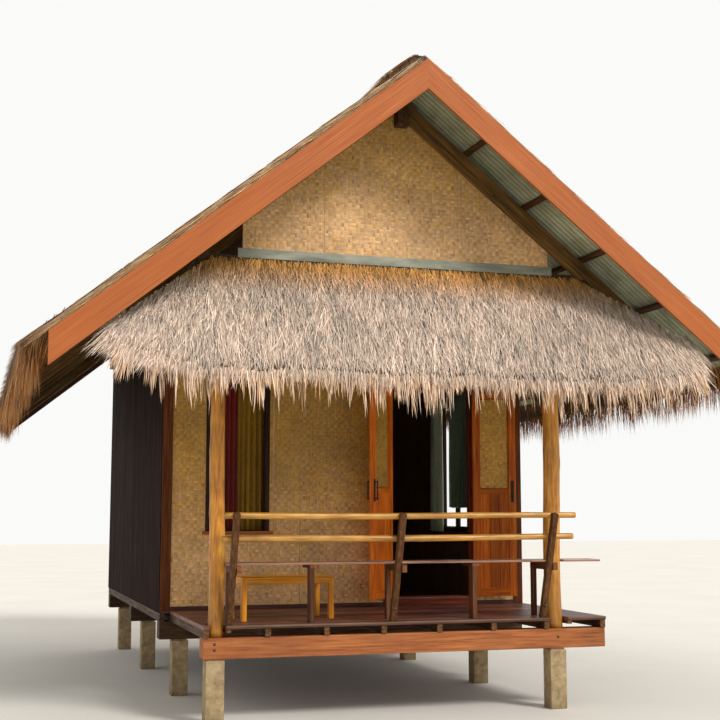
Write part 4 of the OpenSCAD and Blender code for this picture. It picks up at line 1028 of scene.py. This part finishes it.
BEAM_FACE, BOLT, SCREW = -2.826, 0.007, 0.0028   # a face on Y, and the radius of each head
bolts = Pile()
for x, z in ((-1.538, 0.616), (-1.538, 0.571), (1.390, 0.595)):
    stud(bolts, (x, BEAM_FACE, z), -Y, BOLT)
for x in LEANING:
    stud(bolts, (x, -2.873, 0.860), unit((0, -0.954, -0.301)), BOLT)
for x in (0.4215, 1.3285):
    for share in (0.12, 0.5, 0.88):              # how far up the leaf each hinge sits
        for under in (0.011, 0.031):
            stud(bolts, (x, -1.139, LEAF_FOOT + LEAF_HIGH * share - under), -Y, SCREW)
metal = fibre("bolt_iron", [(60, 52, 46), (86, 76, 66), (128, 82, 50)], (80, 80, 80),
              stored=False, rough=(0.4, 0.6), bump=0.2, relief=0.0005, metal=0.7)
bolts.make("bolt_and_screw_heads", metal, "iron", smooth=True)

# %% [markdown]
# ## The roof sheets
# Under the grass lie corrugated steel sheets, seen from below along the gable and the eaves. A
# sheet is a sine wave across and straight down the slope. Each is about a metre wide and overlaps
# the next by about one wave, which shows as a small step.
# An Array modifier could repeat one wave, but a grid of points can also overlap and sag.

# %% Corrugated sheets
SIDES = {"left": -1, "right": 1}
SHEET_FROM, SHEET_TO, SHEET_STEP, SHEET_WIDE, WAVE = -3.512, 3.698, 1.03, 1.106, 0.0687
DOWN_SHEET = np.array([0.016, 1.2, 1.2, 2.5, 2.897 / math.cos(PITCH)])


def on_roof(down, along, lift, hand):
    """A point on a slope: down from the ridge, along Y, and lift out of the roof line."""
    x = hand * (down * math.cos(PITCH) + lift * math.sin(PITCH))
    z = RIDGE - down * math.sin(PITCH) + lift * math.cos(PITCH)
    return xyz(x, along, z)


for side, hand in SIDES.items():
    sheets = Pile()
    for k in range(7):
        first = SHEET_FROM + k * SHEET_STEP
        y = np.linspace(first, min(first + SHEET_WIDE, SHEET_TO), 15 * 6 + 1)
        wave = np.cos(2 * np.pi * (y - SHEET_FROM) / WAVE)
        lift = -0.0095 + 0.0075 * wave + 0.0012 * (k % 2)
        sag = -0.0012 * np.array([0, 0, 1, 1, 1])
        points = on_roof(DOWN_SHEET[:, None], y[None], lift[None] + sag[:, None], hand)
        # the shade follows the waves: painted light and shade that draws the corrugations
        sheets.add(points, [net(5, len(y))], np.tile(0.22 * wave, 5) + bell(0, 0.07))
    sheets.make("roof_sheets_" + side, sheet_metal, "roof_metal",
                instead_of=["roof_sheet_" + side], smooth=True)

# %% [markdown]
# ## Stalks of grass
# All the grass on this house is made of one thing: a thin blade that tapers to a point, bends
# under its own weight and leans towards its neighbours. A thatcher ties the stalks in handfuls,
# so the blades are made in tufts that share a colour and draw together at their tips.
# Blender's hair could make them too, but it is lost when the model is exported as a mesh, so
# each blade is a narrow strip of faces.

# %% Blades
def along_blade(joints):
    """How far along its blade each point lies: two for every joint and one for the tip."""
    return np.append(np.repeat(np.linspace(0, 1, joints + 1)[:-1], 2), 1.0)


def blades(pile, root, heading, length, sag, side, width, shade, tint, joints=3, fade=0.25):
    """Many blades at once. Each row gives one blade; sag is how far its tip is pushed aside."""
    count, size = len(root), 2 * joints + 1
    t = np.linspace(0, 1, joints + 1)
    spine = root[:, None] + heading[:, None] * (length[:, None] * t)[..., None]
    spine = spine + sag[:, None] * (t ** 2)[None, :, None]
    broad = width[:, None] * (1 - 0.55 * t[:-1] ** 2)
    edge = side[:, None] * broad[..., None] / 2
    pair = np.stack([spine[:, :-1] - edge, spine[:, :-1] + edge], 2).reshape(count, -1, 3)
    points = np.concatenate([pair, spine[:, -1:]], 1)
    start = (np.arange(count) * size)[:, None]
    quads = [start + [2 * j, 2 * j + 1, 2 * j + 3, 2 * j + 2] for j in range(joints - 1)]
    tips = start + [size - 3, size - 2, size - 1]
    run = along_blade(joints)
    light = shade[:, None] + fade * (run - 0.5)
    kind = np.clip(tint[:, None] if tint.ndim == 1 else tint, 0, 1) * np.ones(size)
    seat = even(0, 30, (count, 1, 3))
    grain = xyz(length[:, None] * run, np.tile([0, 0.006], joints + 1)[:size], 0) + seat
    pile.add(points, [np.concatenate(quads), tips], light, kind, grain)


def bowed(line, bow):
    """Heading, length and sag of blades that set out along line - bow and still end at line."""
    size = np.linalg.norm(line, axis=1)
    heading = unit(line - bow)
    return heading, size, line - heading * size[:, None]


def luck(number):
    """A fixed chance between 0 and 1 for each whole number, so that a tuft keeps its own."""
    return np.modf(np.abs(np.sin(number * 12.9898) * 4375.85))[0]


def tufts(x, pitch, pull):
    """Moves each blade's tip towards the middle of its tuft. Returns the move and the tuft."""
    tuft = np.floor(x / pitch + 0.35 * np.sin(x * 7.0)).astype(int)
    middle = (tuft + 0.5) * pitch
    return (middle - x) * pull, tuft


print("points of a blade lie at", along_blade(3).round(2))

# %% Finishes of the grass
grass_tones = [(110, 90, 74), (200, 178, 160), (234, 218, 204), (250, 242, 234)]
straw_tones = [(112, 66, 22), (196, 134, 56), (224, 170, 84), (242, 206, 136)]
awning_grass = fibre("awning_grass", grass_tones, (6, 500, 500), second=straw_tones,
                     rough=(0.55, 0.75), bump=0.2, relief=0.0005, spread=(0.22, 0.78),
                     patch=(1.6, 0.12))
thatch_tones = [(84, 62, 44), (148, 118, 86), (186, 156, 120), (220, 196, 162)]
thatch_second = [(92, 52, 22), (160, 102, 44), (196, 136, 68), (224, 178, 112)]
thatch = fibre("thatch", thatch_tones, (6, 400, 400), second=thatch_second, rough=(0.6, 0.8),
               bump=0.2, relief=0.0005, spread=(0.22, 0.78), patch=(1.1, 0.2))
# dark tones for the grass under the blades: painted shade deep among the stalks
shaded_under_grass = fibre("shaded_under_grass", [(48, 34, 22), (92, 68, 44), (140, 112, 80)],
                    (4, 160, 160), rough=(0.7, 0.9), bump=0.9, relief=0.006)
print("grass finishes:", awning_grass.name, thatch.name, shaded_under_grass.name)

# %% [markdown]
# ## The thatch on both slopes
# The grass is laid in eight courses from the eaves up, each hiding the ties of the one below, so
# the slope steps down like wide shingles. The bundles of a course end unevenly, in the zigzag
# that the measured solid has. First a thick uneven mattress gives each slope its body, thinner
# towards its front and rear ends. Then blades cover it course by course, close its cut sides
# and hang over the eave.
# A flat slope with a grass finish would lose the steps and the uneven ends, and they are what
# makes a roof look thick.

# %% The mattress of each slope
COURSE = 3.062 / 8 / math.cos(PITCH)             # one of eight, measured down the slope
FRONT_TIP, REAR_TIP = -3.580, 3.766              # the ends of the roof, along Y
THICK, STEP_DOWN = 0.072, 0.0125                 # the grass, and the step between two courses
EAVE, LAST_TIP = 3.9, 3.97                       # down the slope from the ridge
GRASS_FRONT, GRASS_REAR = FRONT_TIP + 0.145, REAR_TIP - 0.145


def ripple(a, b):
    """A smooth unevenness between about -1 and 1."""
    return (np.sin(3.1 * a + 1.7 * np.sin(2.3 * b)) + np.sin(5.3 * b + 1.1 * np.sin(4.1 * a + 1))
            + 0.6 * np.sin(17 * a + 13 * b)) / 2.6


def bundle_reach(line, along):
    """How far the bundles of a course reach over the next one, point by point along Y."""
    place = (along - FRONT_TIP - 0.004) / ((REAR_TIP - FRONT_TIP - 0.008) / 31)
    first = np.floor(place)
    near, far = (0.035 + 0.025 * np.sin(np.radians(137 * (first + k) + 71 * line)) for k in (0, 1))
    return near + (far - near) * (place - first)


def thatch_lift(down, along):
    """Height of the grass over the roof line, with a step at the end of each course."""
    place = np.clip(down / COURSE, 0, 7.999)
    course = np.floor(place)
    part = place - course
    lip = (course > 0) * (part * COURSE < bundle_reach(course, along))
    verge = np.clip(np.minimum(along - GRASS_FRONT, GRASS_REAR - along) / 0.2, 0, 1) ** 0.6
    edge = 0.026 + 0.016 * np.clip(down / EAVE, 0, 1)
    step = STEP_DOWN * (1 - part - lip)
    return edge + (THICK - edge) * verge - step + 0.006 * ripple(down * 2, along * 2.2)


DOWN_GRASS = np.add.outer(np.arange(8), [0.002, 0.03, 0.06, 0.09, 0.12, 0.4, 0.7, 0.998]).ravel()
DOWN_GRASS = DOWN_GRASS[:, None] * COURSE        # eight rows of points for each course
y = np.linspace(FRONT_TIP + 0.012, REAR_TIP - 0.012, 118)
y = np.concatenate([[GRASS_FRONT], y[(y > GRASS_FRONT) & (y < GRASS_REAR)], [GRASS_REAR]])
for side, hand in SIDES.items():
    top = on_roof(DOWN_GRASS, y[None], thatch_lift(DOWN_GRASS, y[None]), hand)
    brim = [xyz(hand * x, y, z)[None] for x, z in ((3.035, 2.74), (2.955, 2.76),
                                                   (2.93, RIDGE - 2.93 * STEEP))]
    peak = on_roof(DOWN_GRASS[:1], y[None], 0.004, hand)
    points = np.concatenate([top, *brim, peak, top[:1]]).transpose(1, 0, 2)
    points = points + 0.004 * ripple(points[..., 1:2] * 9, points[..., 2:3] * 11)
    mattress = Pile()
    mattress.add(points, loaf(points), -0.15, grain=points[..., [2, 1, 0]] * [1, 1, 0.2])
    mattress.make("thatch_mattress_" + side, shaded_under_grass, "thatch", instead_of=["thatch_" + side])

# %% Blades over a slope and along its cut sides
def slope_blades(pile, hand, count):
    """Blades over one slope, each rooted in a course and ending a little past it."""
    course = chance.integers(0, 8, count)
    y = even(GRASS_FRONT, GRASS_REAR, count)
    lean, tuft = tufts(y, 0.07, 0.35)
    start = np.maximum(course * COURSE + even(-0.12, 0.22, count), 0.01)
    end = (course + 1) * COURSE + bundle_reach(course + 1, y) + even(-0.03, 0.02, count)
    length = np.minimum(end - start, LAST_TIP - start).clip(0.12)
    root = on_roof(start, y, thatch_lift(start, y) + even(-0.004, 0.004, count), hand)
    end_lift = thatch_lift(np.minimum((course + 1) * COURSE - 0.01, EAVE), y)
    tip = on_roof(start + length, y + lean + bell(0, 0.018, count),
                  end_lift + even(0.002, 0.014, count), hand)
    heading = unit(tip - root)
    sag = np.array([0.3 * hand, 0, -0.5]) * 0.03 * even(0, 1, count)[:, None]
    side = unit(xyz(0.12 * bell(0, 1, count), 1, 0.5 * bell(0, 1, count)))
    shade = (np.sin(tuft * 12.9898 + course * 4.1) * 0.10 + bell(0, 0.16, count)
             - 0.18 * (course == 7))
    blades(pile, root, heading, np.linalg.norm(tip - root, axis=1), sag, side,
           even(0.006, 0.013, count), shade, even(-0.5, 0.9, count))


def verge_blades(pile, hand, end, count):
    """The cut side of the grass, seen above the barge boards."""
    start = even(-0.02, 3.66, count)
    lift = even(0.010, 0.048, count)
    stray = chance.random(count) < 0.05
    out = even(-0.006, 0.016, count)
    plane = GRASS_FRONT - 0.004 - out if end < 0 else GRASS_REAR + 0.004 + out
    root = on_roof(np.maximum(start, 0), plane, lift, hand)
    length = even(0.12, 0.34, count)
    tip = on_roof(np.maximum(start, 0) + length, plane + end * even(0, 0.02, count),
                  lift + bell(0.001, 0.004, count) + 0.022 * stray, hand)
    sag = np.array([0, 0, -1.0]) * chance.exponential(0.003, count)[:, None]
    side = unit(bell(0, 1, (count, 3)) * [0.4, 0.3, 0.4] + [0.62 * hand, 0, 0.78])
    blades(pile, root, unit(tip - root), length, sag, side, even(0.003, 0.007, count),
           bell(0.05, 0.40, count), even(-0.6, 0.5, count))


print("grass from", round(GRASS_FRONT, 3), "to", round(GRASS_REAR, 3), "in 8 courses")

# %% [markdown]
# ## The fringe of the eaves
# At the eave some stalks bend over the edge, and others hang from its lip. From below and from
# the front one sees them singly, so they are blades too, drawn together in uneven tufts.

# %% The fringe, and the grass of both slopes
BEND_FROM, BEND_TO = 3.50, 3.91                  # down the slope, where stalks bend over the eave


def eave_blades(pile, hand, count, ends=(GRASS_FRONT - 0.01, GRASS_REAR + 0.01)):
    """The fringe: grass that bends over the eave, and grass that hangs from its lip."""
    y = even(*ends, count)
    pull, tuft = tufts(y, 0.085, 0.55)
    lip = chance.random(count) < 0.45
    start = even(BEND_FROM, BEND_TO, count)
    root = on_roof(start, y, even(0.01, 0.075, count), hand)
    hanging = xyz(hand * even(2.945, 3.045, count), y, even(2.750, 2.850, count))
    root = np.where(lip[:, None], hanging, root)
    reach = even(0.08, 0.19, count) + 0.15 * luck(tuft) + 0.06 * (1 - lip)
    out = np.where(lip, 0.0, 0.55 - 0.40 * (start - BEND_FROM) / 0.41)
    heading = unit(xyz(hand * out, 3.5 * pull, -0.80) + bell(0, 0.05, (count, 3)))
    sag = xyz(-hand * 0.35 * out * reach, pull * 0.9 + bell(0, 0.014, count), -0.06)
    side = unit(xyz(bell(0, 0.5, count), 1, bell(0, 0.3, count)))
    shade = 0.3 * (luck(tuft + 5) - 0.5) + bell(-0.05, 0.36, count)
    blades(pile, root, heading, reach, sag, side, even(0.004, 0.010, count), shade,
           even(0.4, 1.3, count), fade=0.4)


thin = 1.0
for side, hand in SIDES.items():
    cover = Pile()
    slope_blades(cover, hand, int(20200 * thin))
    for end in (-1, 1):
        verge_blades(cover, hand, end, int(1900 * thin))
    cover.make("thatch_stalks_" + side, thatch, "thatch")
    fringe = Pile()
    eave_blades(fringe, hand, int(4600 * thin))
    for end in (GRASS_FRONT, GRASS_REAR):
        eave_blades(fringe, hand, int(260 * thin), (end - 0.016, end + 0.016))
    fringe.make("eave_fringe_" + side, thatch, "thatch")

# %% [markdown]
# ## The ridge
# The ridge is closed with grass bent over both slopes. A solid core keeps the height of the
# frame's cap, blades run down on both sides, and split bamboo holds them down near their ends.

# %% Ridge core, blades and hold-down bamboo
RIDGE_ENDS, RIDGE_TOP = (FRONT_TIP + 0.27, REAR_TIP - 0.27), 5.352
shape = np.array([(-0.340, 5.072), (-0.20, 5.205), (-0.05, RIDGE_TOP), (0.05, RIDGE_TOP),
                  (0.20, 5.205), (0.340, 5.072), (0.32, 5.030), (0, 5.29), (-0.32, 5.030),
                  (-0.340, 5.072)])
points = xyz(shape[:, 0], np.linspace(*RIDGE_ENDS, 90)[:, None], shape[:, 1])
points[..., 2] += 0.005 * ripple(points[..., 0] * 6, points[..., 1] * 3)
core = Pile()
core.add(points, loaf(points), -0.1, grain=points[..., [2, 1, 0]])
core.make("ridge_core", shaded_under_grass, "thatch", instead_of=["ridge_cap"])

ridge = Pile()
for hand in (-1, 1):
    count = int(4200 * thin)
    y = even(RIDGE_ENDS[0] - 0.01, RIDGE_ENDS[1] + 0.01, count)
    pull, tuft = tufts(y, 0.06, 0.35)
    root = xyz(hand * even(-0.05, 0.12, count), y, RIDGE_TOP + even(-0.004, 0.010, count))
    root[:, 2] -= np.maximum(0, np.abs(root[:, 0]) - 0.05) * 0.94
    length = even(0.28, 0.42, count)
    heading = unit(xyz(hand * 0.78, pull * 0.5 + bell(0, 0.05, count), -0.55 + bell(0, 0.02, count)))
    sag = xyz(-hand * 0.015, 0 * y, -0.045)
    side = unit(xyz(bell(0, 0.15, count), 1, bell(0, 0.4, count)))
    blades(ridge, root, heading, length, sag, side, even(0.006, 0.012, count),
           0.1 * np.sin(tuft * 12.9) + bell(-0.05, 0.17, count),
           even(-0.4, 0.9, count))
ridge.make("ridge_stalks", thatch, "thatch")
holds = Pile()
for hand in (-1, 1):
    log(holds, (hand * 0.255, RIDGE_ENDS[0] - 0.05, 5.172), (hand * 0.255, RIDGE_ENDS[1] + 0.05, 5.172),
        (0.013, 0.012), (0, 0, -0.006), knots=12, rings=60, sides=10)
hold_cane = fibre("hold_down_cane", [(104, 78, 44), (146, 114, 66), (178, 146, 96)],
                  (4, 60, 60), bump=0.3, rough=(0.4, 0.6))
holds.make("ridge_canes", hold_cane, "bamboo", smooth=True)

# %% [markdown]
# ## The awning
# Over the porch hangs a deep skirt of long grass. It is tied along the foot of the gable and
# swells a little as it comes down. Its upper part has kept the orange brown of fresh straw under
# the gable's shelter, while the rest has weathered to a pinkish grey.
# One bulging sheet would show a clean edge, so a plain core only fills the skirt, and blades
# make its face and its edge.

# %% The awning's shape
TIP_Y, BACK_Y, LOW_Z, HIGH_Z, HALF = -3.766, -2.829, 2.530, 3.681, 2.400
UNDER_Y, UNDER_Z = -3.601, 3.491                 # where the underside starts and ends
LEAN = math.atan2(UNDER_Z - LOW_Z, BACK_Y - UNDER_Y)
DROP = HIGH_Z - LOW_Z - 0.02
FALL = math.hypot(BACK_Y - TIP_Y, DROP)


def skirt(x, down, lift=0.0):
    """A point on the outer face: down is 0 at the gable and 1 at the lower edge."""
    t = 1 - np.asarray(down, float)
    bulge = 0.034 * np.sin(np.pi * np.clip(t, 0, 1)) + lift
    y = TIP_Y + t * (BACK_Y - TIP_Y) - bulge * math.sin(LEAN)
    return xyz(x, y, LOW_Z + 0.02 + t * DROP + bulge * math.cos(LEAN))


def skirt_start(x):
    """How far down the grass begins, because the barge boards cover its upper corners."""
    return np.clip((HIGH_Z - (RIDGE - 0.277 - STEEP * np.abs(x))) / DROP, 0, 1)


def hem(x):
    """How far down the grass is dense. It ends higher near both ends of the awning."""
    corner = np.clip((np.abs(x) - 1.4) / 1.0, 0, 1)
    return 0.916 - 0.155 * corner ** 2.5 + 0.012 * np.sin(9 * x + 2 * np.sin(4 * x))


x = np.linspace(-HALF + 0.01, HALF - 0.01, 130)[:, None]
begin, close = skirt_start(x), hem(x) - 0.03
down = begin + (close - begin) * np.linspace(0, 1, 16)[None]
front = skirt(x, down, -0.012 + 0.006 * ripple(x * 4, down * 6))
foot = 1.10 * (1 - close)
under = foot + np.linspace(0, 1, 7)[None] * (1 - begin - foot)
back = xyz(x, UNDER_Y + under * (BACK_Y - UNDER_Y), LOW_Z + 0.004 + under * (UNDER_Z - LOW_Z))
points = np.concatenate([front, back, front[:, :1]], 1)
core = Pile()
core.add(points, [group[:, ::-1] for group in loaf(points)], -0.1, grain=points[..., [2, 0, 1]])
core.make("awning_core", shaded_under_grass, "awning_grass", instead_of=["awning_thatch"])

# %% Blades over the awning's face
def skirt_blades(pile, count, shallow, deep, longest):
    """Blades over the outer face, rooted between two depths."""
    x = even(-HALF, HALF, count)
    first = skirt_start(x)
    root_at = first + (1 - first) * even(shallow, deep, count)
    pull, tuft = tufts(x, 0.096, 0.5)
    length = longest * even(0.5, 1.0, count)
    root_at = np.minimum(root_at, hem(x) - 0.05 - 0.22 * chance.random(count))
    over = np.maximum(0, (root_at - hem(x)) * FALL + length) - 0.03 - 0.05 * luck(tuft)
    length = length - np.maximum(0, over - chance.exponential(0.03, count))
    tip_at = root_at + length / FALL
    root = skirt(x, root_at, even(-0.012, 0.006, count))
    splay = 0.32 * np.sign(x) * np.clip((np.abs(x) - 1.7) / 0.7, 0, 1) ** 2
    drift = pull * (length / 0.6) + (splay + bell(-0.16, 0.19, count)) * length
    turn_at = hem(x) - 0.015
    tip = skirt(x + drift, np.minimum(tip_at, turn_at), even(-0.002, 0.034, count))
    hang = np.maximum(0, tip_at - turn_at) * FALL
    tip = tip + hang[:, None] * np.array([0, -0.12, -1.0])
    bow = np.array([0, -0.62, 0.78]) * (0.018 + 0.20 * hang)[:, None]
    bow[:, 0] = bell(0, 0.05, count) * length
    side = unit(xyz(1, 0.35 * bell(0, 1, count), 0.35 * bell(0, 1, count)))
    place = root_at[:, None] + (tip_at - root_at)[:, None] * along_blade(4)
    fresh = np.clip(1.3 - place / 0.24, 0, 1) * 0.95
    ripe = np.clip((place - 0.90) * 4, 0, 0.5) * even(0.2, 1.0, count)[:, None]
    light = 0.16 * (luck(tuft) - 0.5) + bell(0.05, 0.28, count)
    light = np.where(chance.random(count) < 0.27, light - 0.48, light)
    blades(pile, root, *bowed(tip - root, bow), side, even(0.004, 0.009, count), light,
           np.maximum(fresh, ripe), joints=4, fade=0.3)


print("from the gable to the lower edge:", round(FALL, 3), "m")

# %% [markdown]
# ## The awning's lower edge
# Seen from the porch, the edge is what matters: tufts that end in yellow points, shorter ends
# that close the edge between them, and loose strands at both ends of the awning. Each kind is
# rooted in a place of its own, so each gets a function, and all of them hang in the same way.

# %% Blades that hang from the awning
def hanging_blades(pile, root, tip, curl, width, ripe):
    """Blades from root to tip that swing sideways on the way and turn yellow at their ends."""
    count = len(root)
    size = np.linalg.norm(tip - root, axis=1)
    bow = bell(0, 1, (count, 3)) * [1.0, 0.5, 0.0] * (curl * size)[:, None]
    side = unit(xyz(1, bell(0, 0.4, count), 0))
    kind = np.reshape(ripe, (-1, 1)) + 0.3 * along_blade(4) + bell(0, 0.2, (count, 1))
    blades(pile, root, *bowed(tip - root, bow), side, width, bell(0.08, 0.24, count), kind,
           joints=4, fade=0.15)


def hem_tufts(pile, count):
    """The lower edge: stalks that hang alone or draw together in points, a few of them long."""
    middle = even(-HALF, HALF, count)
    drop = np.clip(0.04 + chance.gamma(1.7, 0.065, count), 0, 0.34)
    behind = 0.150 * even(0, 1, count) ** 1.3
    which = np.repeat(np.arange(count), chance.integers(1, 6, count))
    many = len(which)
    x = middle[which] + bell(0, 0.014, many)
    edge = skirt(x, hem(x) - even(0.0, 0.03, many), even(0.0, 0.016, many))
    root = edge + behind[which][:, None] * [0, 1, 0]
    splay = 0.30 * np.sign(x) * np.clip((np.abs(x) - 2.1) / 0.3, 0, 1)
    below = skirt(x, hem(x))[:, 2] - drop[which] * even(0.6, 1.0, many)
    tip = xyz(middle[which] + bell(0, 0.009, many) + splay * drop[which],
              edge[:, 1] + behind[which] - 0.02 - 0.1 * drop[which], below)
    hanging_blades(pile, root, tip, 0.07, even(0.004, 0.008, many), 0.12)


def hem_fill(pile, count):
    """Short ends between the points, which close the edge from front to back."""
    x = even(-HALF, HALF, count)
    behind = 0.155 * even(0, 1, count)
    root = skirt(x, hem(x) - even(0.0, 0.035, count), -0.004) + behind[:, None] * [0, 1, 0]
    tip = root + xyz(bell(0, 0.016, count), bell(-0.01, 0.01, count), -even(0.02, 0.10, count))
    hanging_blades(pile, root, tip, 0.08, even(0.004, 0.008, count), even(-0.3, 0.2, count))


def end_blades(pile, count):
    """Loose strands that fall off both ends of the awning."""
    hand = chance.choice([-1, 1], count)
    x = hand * (HALF - even(0.0, 0.10, count))
    down = np.maximum(skirt_start(x), 0.25) + 0.02
    down = down + (hem(x) - down) * even(0, 1, count)
    root = skirt(x, down, even(-0.05, 0.0, count))
    size = even(0.10, 0.34, count)
    tip = root + xyz(hand * size * even(0.0, 0.32, count), -0.25 * size + bell(0, 0.02, count),
                     -0.85 * size)
    hanging_blades(pile, root, tip, 0.10, even(0.005, 0.010, count), even(-0.2, 0.4, count))


print("edge of the dense grass, in the middle:", round(float(hem(0.0)), 3))

# %% The awning's grass
layers = Pile()
skirt_blades(layers, int(8200 * thin), 0.0, 0.80, 0.52)
skirt_blades(layers, int(19500 * thin), 0.0, 0.94, 0.28)
layers.make("awning_stalks", awning_grass, "awning_grass")
top = Pile()
skirt_blades(top, int(6500 * thin), 0.0, 0.18, 0.26)
hem_tufts(top, int(760 * max(thin, 0.5)))
hem_fill(top, int(2000 * thin))
end_blades(top, int(500 * thin))
top.make("awning_hem_and_band", awning_grass, "awning_grass")

# %% [markdown]
# ## The floor
# The house stands on a plain pale floor that keeps its shadow.

# %% Stage floor and closing
floor_mesh = bpy.data.meshes.new("studio_floor")
floor_mesh.from_pydata([(-60, -60, 0), (60, -60, 0), (60, 60, 0), (-60, 60, 0)], [],
                       [(0, 1, 2, 3)])
studio = Finish("studio_floor")
studio.skin.inputs["Roughness"].default_value = 0.85
shade = studio.ramp(studio.noise(studio.node("TexCoord").outputs["Object"], 0.6, 3.0),
                    [(0.3, tone(226, 224, 218)), (0.7, tone(232, 230, 225))])
studio.feed(studio.skin.inputs["Base Color"], shade)
floor_mesh.materials.append(studio.material)
studio_floor = bpy.data.objects.new("studio_floor", floor_mesh)
scene.collection.objects.link(studio_floor)
